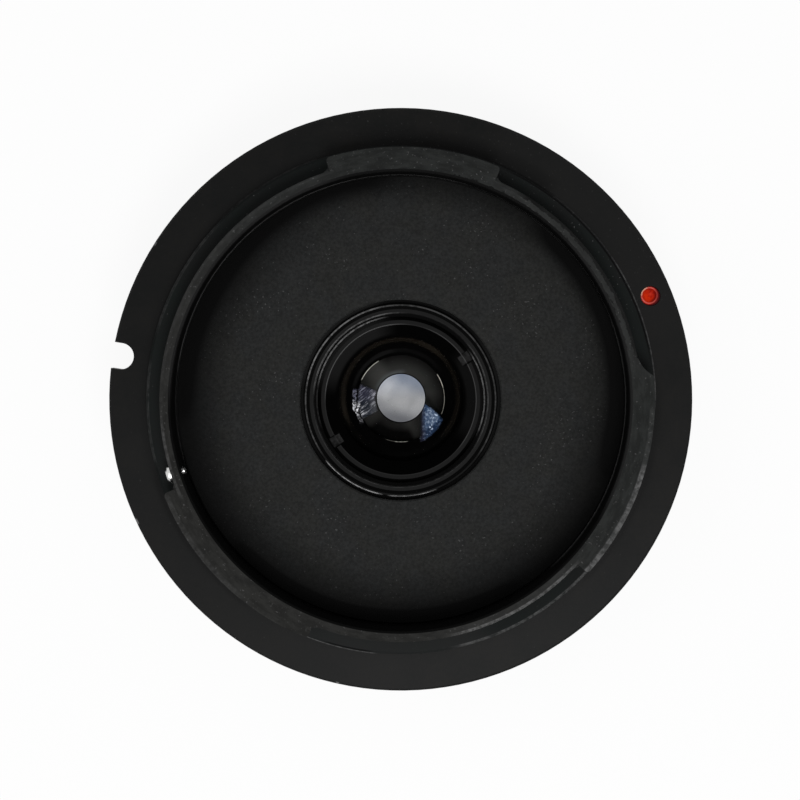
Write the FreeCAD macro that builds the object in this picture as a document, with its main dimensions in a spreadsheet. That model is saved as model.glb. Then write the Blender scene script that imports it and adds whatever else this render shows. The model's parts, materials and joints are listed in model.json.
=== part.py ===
# A thin prime lens with a three-lug bayonet mount, a fixed stop and a focusing lever.
# The optical axis is Z. Z 0 is the flange face that seats on the camera, +Z runs into the
# camera and -Z runs to the subject. Sizes are millimetres and degrees, and angles are
# counted counterclockwise from +X, looking at the mount side.
import FreeCAD, Part
import math
import os
import re
import Sketcher
from FreeCAD import Placement, Rotation, Vector

# Driving dimensions. Each name is one cell of the sheet.
sizes = {
    # mount ring: register, flange, bayonet tube and lugs
    "register_radius": 26.95,
    "register_height": 1.2,
    "flange_width": 4.1,
    "flange_thickness": 2.4,
    "edge_break": 0.25,
    "lug_clearance": 0.45,
    "lug_height": 1.4,
    "lug_thickness": 1.6,
    "lug_corner_radius": 0.4,
    "lug_root_radius": 0.85,
    "lug_one_start": 66.8,
    "lug_one_span": 40.2,
    "lug_two_start": -42.4,
    "lug_two_span": 52.9,
    "lug_three_start": 201.2,
    "lug_three_span": 47.4,
    "lug_scoop_radius": 3.4,
    "lug_scoop_lead": 1.2,
    "tube_wall": 1.1,
    "tube_height": 5.0,
    "tube_chamfer": 0.2,
    "notch_angle": 171.0,
    "notch_depth": 2.3,
    "notch_width": 2.8,
    "web_thickness": 1.4,
    # index dot and bayonet stop screw
    "dot_angle": 22.7,
    "dot_inset": 2.27,
    "dot_radius": 1.03,
    "dot_rim_width": 0.27,
    "dot_thickness": 0.8,
    "dot_recess": 0.04,
    "dot_dish": 0.24,
    "stop_screw_lead": 3.5,
    "stop_screw_drop": 1.9,
    "stop_head_radius": 0.98,
    "stop_head_thickness": 0.62,
    "stop_shank_radius": 0.45,
    "stop_tip_length": 0.35,
    # rear plate
    "floor_depth": 0.8,
    "plate_thickness": 1.0,
    "plate_gap": 0.38,
    "plate_chamfer": 0.14,
    # grip housing
    "flange_overhang": 2.65,
    "housing_wall": 2.35,
    "front_wall_thickness": 1.4,
    "rim_clearance": 0.4,
    "rim_lip": 0.7,
    "rim_chamfer": 0.8,
    "rim_slope_width": 1.3,
    "groove_count": 72,
    "groove_radius": 0.75,
    "groove_depth": 0.42,
    "groove_margin": 1.3,
    "boss_radius": 2.2,
    "boss_inset": 1.9,
    # scale plate
    "scale_plate_thickness": 0.6,
    "scale_plate_gap": 0.5,
    # guide barrel
    "guide_wall": 1.1,
    "pilot_wall": 1.85,
    "guide_flange_width": 4.15,
    "guide_flange_thickness": 1.2,
    "guide_recess": 1.75,
    "shim_thickness": 0.1,
    # cam ring and thrust washer
    "cam_wall": 1.45,
    "cam_slot_margin": 1.04,
    "hub_step": 2.2,
    "shoulder_width": 1.4,
    "shoulder_thickness": 0.7,
    "washer_thickness": 0.15,
    "washer_gap": 0.3,
    "focus_lead": 9.6,
    "focus_turn": 90.0,
    # lever ring and finger grip
    "lever_angle": 225.0,
    "lever_rim_width": 2.3,
    "lever_ring_thickness": 1.1,
    "lever_bore_gap": 0.35,
    "lever_bore_flare": 1.0,
    "lever_gap": 0.15,
    "lever_tip_gap": 2.4,
    "lever_root_width": 5.4,
    "lever_tip_width": 3.8,
    "grip_thickness": 0.34,
    "grip_recess": 0.21,
    "grip_length": 3.8,
    "grip_inset": 0.3,
    "rib_count": 4,
    "rib_pitch": 0.9,
    "rib_width": 0.4,
    "rib_depth": 0.2,
    # followers
    "roller_radius": 0.95,
    "follower_shank_radius": 0.6,
    "follower_head_radius": 0.88,
    "follower_head_thickness": 0.45,
    "follower_head_sink": 0.2,
    "follower_thread_length": 1.5,
    "follower_count": 3,
    # lens cell
    "cell_radius": 10.35,
    "cell_rear_depth": 1.3,
    "lip_width": 0.26,
    "lip_slope": 0.34,
    "lip_rounding": 0.09,
    "lip_step": 0.4,
    "collar_wall": 1.0,
    "counterbore_step": 0.6,
    "thread_step": 0.4,
    "thread_relief": 0.06,
    "cell_flange_thickness": 0.5,
    "cell_flange_lip": 0.7,
    # rear group
    "rear_glass_ledge": 1.15,
    "rear_glass_recess": 0.95,
    "rear_glass_thickness": 1.65,
    "rear_glass_rear_curve": 34.0,
    "rear_glass_front_curve": 22.0,
    "rear_glass_land": 1.5,
    "fourth_glass_ledge": 0.65,
    "fourth_glass_gap": 1.15,
    "fourth_glass_thickness": 1.25,
    "fourth_glass_curve": 20.0,
    "stop_ring_thickness": 0.95,
    "stop_radius": 2.66,
    "stop_funnel_rim": 0.65,
    "stop_edge": 0.1,
    # front group
    "doublet_radius": 4.4,
    "doublet_gap": 0.08,
    "third_glass_thickness": 0.85,
    "cement_curve": 16.0,
    "second_glass_thickness": 0.7,
    "second_glass_curve": 30.0,
    "front_spacer_thickness": 0.5,
    "front_spacer_wall": 0.5,
    "front_glass_radius": 5.2,
    "front_glass_land": 1.0,
    "front_glass_thickness": 0.9,
    "front_glass_rear_curve": 16.0,
    "front_glass_front_curve": 12.0,
    "front_glass_recess": 0.28,
    # spacer, retaining rings and front ring
    "spacer_cone_width": 1.55,
    "ring_face_drop": 0.7,
    "ring_rim_width": 0.4,
    "ring_face_width": 0.42,
    "ring_cone_width": 1.38,
    "spanner_angle": 32.5,
    "spanner_width": 1.3,
    "spanner_depth": 0.6,
    "spanner_reach": 1.1,
    "front_ring_thickness": 0.6,
    "front_ring_lip": 0.7,
    "front_ring_step": 0.3,
    "front_ring_steps": 4,
    "retainer_thread_step": 0.75,
    "retainer_lip": 0.6,
    "retainer_flare": 0.6,
    # screws
    "screw_shank_radius": 0.8,
    "screw_head_radius": 1.5,
    "screw_slot_width": 0.4,
    "screw_slot_depth": 0.35,
    "housing_screw_count": 4,
    "housing_screw_angle": 45.0,
    "housing_screw_length": 5.0,
    "barrel_screw_inset": 2.35,
    "barrel_screw_count": 3,
    "barrel_screw_angle": 60.0,
    "barrel_screw_length": 2.4,
    "lever_screw_inset": 1.2,
    "lever_screw_lead": 60.0,
    "lever_screw_count": 3,
    "lever_screw_shank_radius": 0.55,
    "lever_screw_head_radius": 0.95,
    "lever_screw_length": 2.6,
    # clearances
    "slide_fit": 0.05,
    "seat_fit": 0.05,
    "thread_fit": 0.02,
    "slot_fit": 0.05,
    "roller_fit": 0.03,
    "turn_gap": 0.06,
}


def sag(curve, radius):
    # how far a sphere of that curve falls away from its pole at that radius
    return f"({curve} - sqrt({curve}^2 - ({radius})^2))"


# Sizes and levels that follow from the driving ones.
derived = {
    # radii of the mount and the housing
    "flange_radius": "register_radius + flange_width",
    "lug_radius": "register_radius - lug_clearance",
    "tube_radius": "lug_radius - lug_height",
    "bore_radius": "tube_radius - tube_wall",
    "housing_radius": "flange_radius - flange_overhang",
    "housing_bore": "housing_radius - housing_wall",
    "spigot_radius": "housing_bore - seat_fit",
    "slope_foot": "housing_radius - rim_chamfer - rim_lip - rim_slope_width",
    "notch_centre": "flange_radius - notch_depth + 0.5*notch_width",
    "dot_centre": "flange_radius - dot_inset",
    "housing_screw_circle": "bore_radius - boss_inset",
    # radii of the barrel, the cam ring and the lever
    "guide_bore": "cell_radius + slide_fit",
    "guide_radius": "guide_bore + guide_wall",
    "pilot_radius": "guide_bore + pilot_wall",
    "web_bore": "pilot_radius + seat_fit",
    "guide_flange_radius": "pilot_radius + guide_flange_width",
    "barrel_screw_circle": "pilot_radius + barrel_screw_inset",
    "cam_bore": "guide_radius + slide_fit",
    "cam_radius": "cam_bore + cam_wall",
    "hub_radius": "cam_radius + hub_step",
    "hub_hole": "hub_radius + 2*slide_fit",
    "shoulder_radius": "hub_radius + shoulder_width",
    "lever_ring_radius": "hub_radius + lever_rim_width",
    "lever_bore": "cam_bore + lever_bore_gap",
    "lever_reach": "slope_foot - lever_tip_gap",
    "lever_screw_circle": "hub_radius - lever_screw_inset",
    "lever_screw_turn": "lever_angle + lever_screw_lead",
    "stop_screw_angle": "lug_three_start - stop_screw_lead",
    "slot_radius": "roller_radius + slot_fit",
    "roller_bore": "follower_shank_radius + roller_fit",
    "follower_neck": "cam_radius - follower_head_sink",
    "follower_head": "follower_neck + follower_head_thickness",
    # radii inside the lens cell
    "plate_hole": "cell_radius + plate_gap",
    "counterbore": "cell_radius - collar_wall",
    "rear_thread": "counterbore - thread_step",
    "ring_outer": "rear_thread - ring_rim_width",
    "ring_inner": "ring_outer - ring_face_width",
    "ring_land": "ring_inner - ring_cone_width",
    "rear_glass_radius": "rear_thread - rear_glass_ledge",
    "rear_land": "rear_glass_radius - rear_glass_land",
    "spacer_hole": "rear_land - spacer_cone_width",
    "fourth_glass_radius": "spacer_hole + fourth_glass_ledge",
    "stop_funnel": "fourth_glass_radius - stop_funnel_rim",
    "front_land": "front_glass_radius - front_glass_land",
    "front_bore": "front_glass_radius + seat_fit",
    "front_thread": "front_glass_radius + retainer_thread_step",
    "retainer_bore": "front_glass_radius - retainer_lip",
    # levels from the flange down to the barrel
    "web_top": "-(floor_depth + plate_thickness)",
    "web_bottom": "web_top - web_thickness",
    "barrel_seat": "web_bottom - shim_thickness",
    "barrel_flange_bottom": "barrel_seat - guide_flange_thickness",
    "cam_rear": "barrel_flange_bottom - turn_gap",
    "follower_level": "cam_rear - cam_slot_margin - slot_radius",
    "focus_travel": "focus_lead*focus_turn/360",
    "follower_near": "follower_level - focus_travel",
    # levels of the rear group, from its collar to the stop
    "collar_flat": "-(cell_rear_depth + lip_step)",
    "counterbore_floor": "collar_flat - counterbore_step",
    "ring_face": "counterbore_floor - ring_face_drop",
    "rear_glass_back": "ring_face - rear_glass_recess",
    "ring_foot": "rear_glass_back + thread_fit - " + sag("rear_glass_rear_curve", "ring_land"),
    "thread_foot": "ring_foot - thread_relief",
    "rear_glass_front": "rear_glass_back - rear_glass_thickness",
    "rear_glass_rim": "rear_glass_front - " + sag("rear_glass_front_curve", "rear_land"),
    "fourth_back": "rear_glass_front - fourth_glass_gap",
    "fourth_rim": "fourth_back - " + sag("fourth_glass_curve", "fourth_glass_radius"),
    "fourth_front": "fourth_back - fourth_glass_thickness",
    "stop_front": "fourth_front - stop_ring_thickness",
    # levels of the front group, from the stop to the rim of the housing
    "cell_flange_front": "stop_front - cell_flange_thickness",
    "third_back": "cell_flange_front - doublet_gap",
    "cement_pole": "third_back - third_glass_thickness",
    "cement_rim": "cement_pole + " + sag("cement_curve", "doublet_radius"),
    "second_pole": "cement_pole - second_glass_thickness",
    "second_rim": "second_pole + " + sag("second_glass_curve", "doublet_radius"),
    "front_seat": "second_rim - front_spacer_thickness",
    "front_back_pole": "front_seat - " + sag("front_glass_rear_curve", "front_land"),
    "front_pole": "front_back_pole - front_glass_thickness",
    "front_rim": "front_pole + " + sag("front_glass_front_curve", "front_glass_radius"),
    "retainer_back": "front_pole - thread_fit + " + sag("front_glass_front_curve", "retainer_bore"),
    "cell_front": "front_pole - front_glass_recess",
    "front_ring_seat": "cell_front + front_ring_thickness",
    "rim_level": "cell_front - focus_travel - rim_clearance",
    "lever_front": "rim_level + grip_recess + grip_thickness",
    "lever_back": "lever_front + lever_ring_thickness",
    "plate_front": "lever_back + lever_gap",
    "face_level": "plate_front + scale_plate_thickness",
    "wall_back": "face_level + front_wall_thickness",
    "washer_front": "wall_back + 0.5*turn_gap",
    "washer_back": "washer_front + washer_thickness",
    "shoulder_front": "washer_back + 0.5*turn_gap",
    "shoulder_back": "shoulder_front + shoulder_thickness",
    "guide_front": "lever_back + guide_recess",
}

doc = FreeCAD.newDocument("prime_lens")
sheet = doc.addObject("Spreadsheet::Sheet", "dims")
for row, (alias, value) in enumerate(sizes.items(), 1):
    sheet.set(f"A{row}", alias)
    sheet.set(f"B{row}", str(value))
    sheet.setAlias(f"B{row}", alias)
doc.recompute()


def bound(text):
    # the formula with every name written out in cells of the sheet
    def written(match):
        name = match[0]
        if name in derived:
            return f"({bound(derived[name])})"
        return f"dims.{name}" if name in sizes else name
    return re.sub(r"[a-z_]+", written, text)


def number(text):
    # what a formula comes to
    return float(sheet.evalExpression(bound(text)))


parts = []


def new_body(label, turn="0"):
    # a sub-part, turned about the optical axis where its features start off +X
    body = doc.addObject("PartDesign::Body", label)
    body.Label = label
    body.Placement = Placement(Vector(), Rotation(Vector(0, 0, 1), number(turn)))
    if turn != "0":
        body.setExpression("Placement.Rotation.Angle", bound(turn))
    parts.append(body)
    return body


def new_sketch(body, name, role, base=("0", "0", "0"), turn="0", turn_axis=Vector(0, 0, 1)):
    sketch = body.newObject("Sketcher::SketchObject", name)
    plane = next(f for f in body.Origin.OriginFeatures if f.Role == role)
    sketch.AttachmentSupport = [(plane, "")]
    sketch.MapMode = "FlatFace"
    start = Vector(*[number(text) for text in base])
    sketch.AttachmentOffset = Placement(start, Rotation(turn_axis, number(turn)))
    for letter, text in zip("xyz", base):
        if text != "0":
            sketch.setExpression(f"AttachmentOffset.Base.{letter}", bound(text))
    if turn != "0":
        sketch.setExpression("AttachmentOffset.Rotation.Angle", bound(turn))
    return sketch


def pin_down(sketch, piece, spot, axis, text):
    # fixes one coordinate of a point of the sketch to a formula
    if text == "0":
        line = -2 if axis == "X" else -1
        sketch.addConstraint(Sketcher.Constraint("PointOnObject", piece, spot, line))
        return
    rule = Sketcher.Constraint(f"Distance{axis}", -1, 1, piece, spot, number(text))
    sketch.setExpression(f"Constraints[{sketch.addConstraint(rule)}]", bound(text))


def outline(sketch, corners):
    # A closed outline. A corner is (x, y), with a line on to the next one, or
    # (x, y, centre x, centre y, turn) with an arc, where turn 1 is counterclockwise.
    spots = [Vector(number(c[0]), number(c[1]), 0) for c in corners]
    ends = []
    for here, there, corner in zip(spots, spots[1:] + spots[:1], corners):
        if len(corner) == 2:
            sketch.addGeometry(Part.LineSegment(here, there))
            ends.append((1, 2))
            continue
        centre = Vector(number(corner[2]), number(corner[3]), 0)
        first, last = (here, there) if corner[4] > 0 else (there, here)
        low = math.atan2(first.y - centre.y, first.x - centre.x)
        high = math.atan2(last.y - centre.y, last.x - centre.x)
        high += 2 * math.pi if high <= low else 0
        ring = Part.Circle(centre, Vector(0, 0, 1), (first - centre).Length)
        sketch.addGeometry(Part.ArcOfCircle(ring, low, high))
        ends.append((1, 2) if corner[4] > 0 else (2, 1))
    for i, corner in enumerate(corners):
        after = (i + 1) % len(corners)
        sketch.addConstraint(Sketcher.Constraint("Coincident", i, ends[i][1], after, ends[after][0]))
        pin_down(sketch, i, ends[i][0], "X", corner[0])
        pin_down(sketch, i, ends[i][0], "Y", corner[1])
        if len(corner) > 2:
            chord = spots[after] - spots[i]
            axis, text = ("X", corner[2]) if abs(chord.y) > abs(chord.x) else ("Y", corner[3])
            pin_down(sketch, i, 3, axis, text)
    return sketch


def bar(sketch, start, end, half):
    # a rectangle along the sketch's X axis
    minus = f"-({half})"
    return outline(sketch, [(start, minus), (end, minus), (end, half), (start, half)])


def circle(sketch, x, y, radius):
    where = Vector(number(x), number(y), 0)
    piece = sketch.addGeometry(Part.Circle(where, Vector(0, 0, 1), number(radius)))
    pin_down(sketch, piece, 3, "X", x)
    pin_down(sketch, piece, 3, "Y", y)
    rule = sketch.addConstraint(Sketcher.Constraint("Radius", piece, number(radius)))
    sketch.setExpression(f"Constraints[{rule}]", bound(radius))
    return sketch


def revolved(body, sketch, axis="V_Axis", cut=False):
    kind = "PartDesign::Groove" if cut else "PartDesign::Revolution"
    feature = body.newObject(kind, f"{sketch.Name}_turned")
    feature.Profile = sketch
    feature.ReferenceAxis = (sketch, [axis])
    feature.Angle = 360
    return feature


def extruded(body, sketch, length, cut=False, reverse=False):
    # a pad runs along the sketch's normal and a cut against it, unless reversed
    kind = "PartDesign::Pocket" if cut else "PartDesign::Pad"
    feature = body.newObject(kind, f"{sketch.Name}_run")
    feature.Profile = sketch
    feature.Reversed = reverse
    feature.Length = number(length)
    feature.setExpression("Length", bound(length))
    return feature


def repeated(body, features, count):
    # evenly spaced copies about the optical axis
    axis = next(f for f in body.Origin.OriginFeatures if f.Role == "Z_Axis")
    pattern = body.newObject("PartDesign::PolarPattern", f"{features[0].Name}_ring")
    pattern.Originals = features
    pattern.Axis = (axis, [""])
    pattern.Angle = 360
    pattern.Occurrences = int(number(count))
    pattern.setExpression("Occurrences", bound(count))
    body.Tip = pattern
    return pattern


def turned_part(label, corners):
    # a body of revolution about the optical axis, from (radius, height) corners
    body = new_body(label)
    revolved(body, outline(new_sketch(body, f"{label}_profile", "XZ_Plane"), corners))
    return body


def rounded(body, radius, test):
    # rounds the edges of the body so far that pass the test
    doc.recompute()
    base = body.Tip
    names = [f"Edge{i}" for i, e in enumerate(base.Shape.Edges, 1) if test(e)]
    fillet = body.newObject("PartDesign::Fillet", f"{body.Name}_round")
    fillet.Base = (base, names)
    fillet.Radius = number(radius)
    fillet.setExpression("Radius", bound(radius))


def hole_ring(body, name, where, radius, top, depth, count, turn, rising=False):
    # round holes on a circle, cut down from the top level, or up from it
    sketch = new_sketch(body, name, "XY_Plane", ("0", "0", top), turn)
    cut = extruded(body, circle(sketch, where, "0", radius), depth, cut=True, reverse=rising)
    return repeated(body, [cut], count)


def countersinks(body, name, where, head, shank, top, count, turn, facing):
    # cone seats for countersunk screws, opening towards +Z for facing 1 and -Z for -1
    sign = "-" if facing > 0 else ""
    sketch = new_sketch(body, name, "XZ_Plane", (where, top, "0"))
    cone = f"{sign}({head} - {shank})"
    seat = outline(sketch, [("0", "0"), (head, "0"), (shank, cone), ("0", cone)])
    groove = revolved(body, seat, cut=True)
    about = Rotation(Vector(0, 1, 0), number(turn))
    sketch.AttachmentOffset = Placement(sketch.AttachmentOffset.Base, about)
    sketch.setExpression("AttachmentOffset.Base.x", bound(f"{where}*cos({turn})"))
    sketch.setExpression("AttachmentOffset.Base.z", bound(f"-{where}*sin({turn})"))
    sketch.setExpression("AttachmentOffset.Rotation.Angle", bound(turn))
    return repeated(body, [groove], count)


def screw_ring(label, where, head, shank, length, top, count, turn, facing):
    # countersunk slotted screws on a circle, with their heads towards +Z or -Z
    body = new_body(label, turn)
    sign = "-" if facing > 0 else ""
    sketch = new_sketch(body, f"{label}_profile", "XZ_Plane", (where, top, "0"))
    shaft = revolved(body, outline(sketch, [
        ("0", "0"),
        (head, "0"),
        (shank, f"{sign}({head} - {shank})"),
        (shank, f"{sign}{length}"),
        ("0", f"{sign}{length}"),
    ]))
    slot = new_sketch(body, f"{label}_slot", "XY_Plane", (where, "0", top))
    bar(slot, f"-1.2*{head}", f"1.2*{head}", "0.5*screw_slot_width")
    cut = extruded(body, slot, "screw_slot_depth", cut=True, reverse=facing < 0)
    repeated(body, [shaft, cut], count)


def mount_ring():
    body = turned_part("mount_ring", [
        ("web_bore", "web_top"),
        ("bore_radius", "web_top"),
        ("bore_radius", "tube_height - tube_chamfer"),
        ("bore_radius + tube_chamfer", "tube_height"),
        ("tube_radius - 0.5*tube_chamfer", "tube_height"),
        ("tube_radius", "tube_height - 0.5*tube_chamfer"),
        ("tube_radius", "register_height"),
        ("register_radius - edge_break", "register_height"),
        ("register_radius", "register_height - edge_break"),
        ("register_radius", "0"),
        ("flange_radius - edge_break", "0"),
        ("flange_radius", "-edge_break"),
        ("flange_radius", "-(flange_thickness - edge_break)"),
        ("flange_radius - edge_break", "-flange_thickness"),
        ("spigot_radius", "-flange_thickness"),
        ("spigot_radius", "web_bottom"),
        ("web_bore", "web_bottom"),
    ])
    root = "(tube_radius - 0.5*tube_wall)"
    for name in ("one", "two", "three"):
        span = f"lug_{name}_span"
        lug = new_sketch(body, f"lug_{name}", "XY_Plane", ("0", "0", "tube_height"), f"lug_{name}_start")
        outline(lug, [
            (root, "0"),
            ("lug_radius", "0", "0", "0", 1),
            (f"lug_radius*cos({span})", f"lug_radius*sin({span})"),
            (f"{root}*cos({span})", f"{root}*sin({span})", "0", "0", -1),
        ])
        extruded(body, lug, "lug_thickness", reverse=True)

    scooped = number("lug_two_start + lug_two_span")

    def upright(edge, radius):
        # an upright edge of a lug at that radius, but for the end that is scooped out
        box = edge.BoundBox
        tall = abs(box.ZLength - number("lug_thickness")) < 0.2 and box.XLength < 0.01
        angle = math.degrees(math.atan2(box.Center.y, box.Center.x))
        return tall and abs(angle - scooped) > 1 and \
            abs(math.hypot(box.Center.x, box.Center.y) - number(radius)) < 0.02

    rounded(body, "lug_root_radius", lambda e: upright(e, "tube_radius"))
    rounded(body, "min(lug_corner_radius; 0.9*(lug_height - lug_root_radius))",
            lambda e: upright(e, "lug_radius"))
    scoop = new_sketch(body, "lug_scoop", "XY_Plane", ("0", "0", "tube_height"),
                       "lug_two_start + lug_two_span + lug_scoop_lead")
    circle(scoop, "tube_radius + lug_scoop_radius", "0", "lug_scoop_radius")
    extruded(body, scoop, "lug_thickness", cut=True)
    notch = new_sketch(body, "notch", "XY_Plane", turn="notch_angle")
    outline(notch, [
        ("flange_radius + notch_width", "-0.5*notch_width"),
        ("flange_radius + notch_width", "0.5*notch_width"),
        ("notch_centre", "0.5*notch_width", "notch_centre", "0", 1),
        ("notch_centre", "-0.5*notch_width"),
    ])
    extruded(body, notch, "flange_thickness", cut=True)
    hole_ring(body, "dot_hole", "dot_centre", "dot_radius + thread_fit", "0",
              "dot_thickness + dot_recess", "1", "dot_angle")
    cross = new_sketch(body, "stop_hole", "YZ_Plane", turn="stop_screw_angle", turn_axis=Vector(0, 1, 0))
    circle(cross, "0", "tube_height - stop_screw_drop", "stop_shank_radius + thread_fit")
    extruded(body, cross, "lug_radius", cut=True, reverse=True)
    for kind in ("housing", "barrel"):
        where, count, turn = f"{kind}_screw_circle", f"{kind}_screw_count", f"{kind}_screw_angle"
        hole_ring(body, f"{kind}_holes", where, "screw_shank_radius + thread_fit", "web_top",
                  "web_thickness", count, turn)
        countersinks(body, f"{kind}_seats", where, "(screw_head_radius + thread_fit)",
                     "(screw_shank_radius + thread_fit)", "web_top", count, turn, 1)


def index_dot():
    # red enamel in a shallow hole, drawn up at its rim
    body = new_body("index_dot", "dot_angle")
    sketch = new_sketch(body, "dot_profile", "XZ_Plane", ("dot_centre", "-dot_recess", "0"))
    dish = "(dot_radius - dot_rim_width)"
    curve = f"({dish}^2/(2*dot_dish) + 0.5*dot_dish)"
    outline(sketch, [
        ("0", "-(dot_thickness)"),
        ("dot_radius", "-(dot_thickness)"),
        ("dot_radius", "-0.4*dot_rim_width"),
        ("dot_radius - 0.4*dot_rim_width", "0"),
        (dish, "0", "0", f"{curve} - dot_dish", -1),
        ("0", "-dot_dish"),
    ])
    revolved(body, sketch)


def stop_screw():
    # a round-headed screw through the bayonet tube, which ends the turn of the mount
    body = new_body("stop_screw", "stop_screw_angle")
    level = "tube_height - stop_screw_drop"
    sketch = new_sketch(body, "stop_profile", "XZ_Plane", ("0", level, "0"))
    outline(sketch, [
        ("bore_radius - stop_tip_length", "0"),
        ("tube_radius + stop_head_thickness", "0"),
        ("tube_radius + stop_head_thickness", "0.7*stop_head_radius"),
        ("tube_radius + 0.6*stop_head_thickness", "stop_head_radius"),
        ("tube_radius + seat_fit", "stop_head_radius"),
        ("tube_radius + seat_fit", "stop_shank_radius"),
        ("bore_radius - 0.6*stop_tip_length", "stop_shank_radius"),
        ("bore_radius - stop_tip_length", "0.6*stop_shank_radius"),
    ])
    revolved(body, sketch, "H_Axis")
    slot = new_sketch(body, "stop_slot", "YZ_Plane", ("0", level, "tube_radius + stop_head_thickness"))
    bar(slot, "-1.2*stop_head_radius", "1.2*stop_head_radius", "0.3*screw_slot_width")
    extruded(body, slot, "0.4*stop_head_thickness", cut=True)


def rear_plate():
    turned_part("rear_plate", [
        ("plate_hole", "web_top"),
        ("bore_radius - seat_fit", "web_top"),
        ("bore_radius - seat_fit", "-(floor_depth + plate_chamfer)"),
        ("bore_radius - seat_fit - plate_chamfer", "-floor_depth"),
        ("plate_hole + plate_chamfer", "-floor_depth"),
        ("plate_hole", "-(floor_depth + plate_chamfer)"),
    ])


def grip_housing():
    body = turned_part("grip_housing", [
        ("housing_bore", "-flange_thickness"),
        ("housing_radius - edge_break", "-flange_thickness"),
        ("housing_radius", "-(flange_thickness + edge_break)"),
        ("housing_radius", "rim_level + rim_chamfer"),
        ("housing_radius - rim_chamfer", "rim_level"),
        ("housing_radius - rim_chamfer - rim_lip", "rim_level"),
        ("slope_foot", "face_level"),
        ("hub_hole", "face_level"),
        ("hub_hole", "wall_back"),
        ("housing_bore", "wall_back"),
    ])
    boss = new_sketch(body, "boss", "XY_Plane", ("0", "0", "0.5*(wall_back + face_level)"),
                      "housing_screw_angle")
    circle(boss, "housing_screw_circle", "0", "boss_radius")
    pad = extruded(body, boss, "web_bottom - 0.5*(wall_back + face_level)")
    repeated(body, [pad], "housing_screw_count")
    hole_ring(body, "boss_holes", "housing_screw_circle", "screw_shank_radius + thread_fit", "web_bottom",
              "housing_screw_length", "housing_screw_count", "housing_screw_angle")
    top = "-(flange_thickness + groove_margin)"
    flute = new_sketch(body, "flute", "XY_Plane", ("0", "0", top))
    circle(flute, "housing_radius + groove_radius - groove_depth", "0", "groove_radius")
    cut = extruded(body, flute, f"{top} - (rim_level + rim_chamfer + groove_margin)", cut=True)
    repeated(body, [cut], "groove_count")


def scale_plate():
    turned_part("scale_plate", [
        ("hub_radius + scale_plate_gap", "face_level"),
        ("slope_foot - seat_fit", "face_level"),
        ("slope_foot - seat_fit", "plate_front + 0.5*plate_chamfer"),
        ("slope_foot - seat_fit - 0.5*plate_chamfer", "plate_front"),
        ("hub_radius + scale_plate_gap", "plate_front"),
    ])


def guide_barrel():
    body = turned_part("guide_barrel", [
        ("guide_bore", "web_top - seat_fit"),
        ("pilot_radius", "web_top - seat_fit"),
        ("pilot_radius", "barrel_seat"),
        ("guide_flange_radius", "barrel_seat"),
        ("guide_flange_radius", "barrel_flange_bottom"),
        ("guide_radius", "barrel_flange_bottom"),
        ("guide_radius", "guide_front"),
        ("guide_bore", "guide_front"),
    ])
    slot = new_sketch(body, "key_slot", "YZ_Plane")
    outline(slot, [
        ("slot_radius", "follower_level", "0", "follower_level", 1),
        ("-slot_radius", "follower_level"),
        ("-slot_radius", "follower_near", "0", "follower_near", 1),
        ("slot_radius", "follower_near"),
    ])
    cut = extruded(body, slot, "guide_flange_radius", cut=True, reverse=True)
    repeated(body, [cut], "follower_count")
    hole_ring(body, "barrel_taps", "barrel_screw_circle", "screw_shank_radius + thread_fit", "barrel_seat",
              "guide_flange_thickness", "barrel_screw_count", "barrel_screw_angle")


def infinity_shim():
    body = turned_part("infinity_shim", [
        ("pilot_radius + 2*seat_fit", "web_bottom"),
        ("guide_flange_radius", "web_bottom"),
        ("guide_flange_radius", "barrel_seat"),
        ("pilot_radius + 2*seat_fit", "barrel_seat"),
    ])
    hole_ring(body, "shim_holes", "barrel_screw_circle", "screw_shank_radius + seat_fit", "web_bottom",
              "shim_thickness", "barrel_screw_count", "barrel_screw_angle")


def cam_ring():
    body = turned_part("cam_ring", [
        ("cam_bore", "cam_rear"),
        ("cam_radius", "cam_rear"),
        ("cam_radius", "shoulder_back"),
        ("shoulder_radius", "shoulder_back"),
        ("shoulder_radius", "shoulder_front"),
        ("hub_radius", "shoulder_front"),
        ("hub_radius", "lever_back"),
        ("cam_bore", "lever_back"),
    ])
    # a sloping slot: a helix between two round ends, one for each follower
    half = "slot_radius/cos(atan(focus_lead/(2*pi*cam_bore)))"
    band = new_sketch(body, "slot_band", "XZ_Plane")
    outline(band, [
        ("cam_bore - cam_wall", f"follower_level - {half}"),
        ("cam_radius + cam_wall", f"follower_level - {half}"),
        ("cam_radius + cam_wall", f"follower_level + {half}"),
        ("cam_bore - cam_wall", f"follower_level + {half}"),
    ])
    helix = body.newObject("PartDesign::SubtractiveHelix", "slot_helix")
    helix.Profile = band
    helix.ReferenceAxis = (band, ["V_Axis"])
    helix.Mode = "pitch-turns-angle"
    helix.Reversed = True
    helix.LeftHanded = False
    helix.Pitch = number("focus_lead")
    helix.Turns = number("focus_turn/360")
    helix.setExpression("Pitch", bound("focus_lead"))
    helix.setExpression("Turns", bound("focus_turn/360"))
    far = new_sketch(body, "slot_far_end", "YZ_Plane")
    circle(far, "0", "follower_level", "slot_radius")
    near = new_sketch(body, "slot_near_end", "YZ_Plane", turn="-focus_turn", turn_axis=Vector(0, 1, 0))
    circle(near, "0", "follower_near", "slot_radius")
    cuts = [helix]
    for end in (far, near):
        cuts.append(extruded(body, end, "cam_radius + cam_wall", cut=True, reverse=True))
    repeated(body, cuts, "follower_count")
    hole_ring(body, "lever_taps", "lever_screw_circle", "lever_screw_shank_radius + thread_fit",
              "lever_back", "lever_screw_length", "lever_screw_count", "lever_screw_turn", rising=True)


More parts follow.
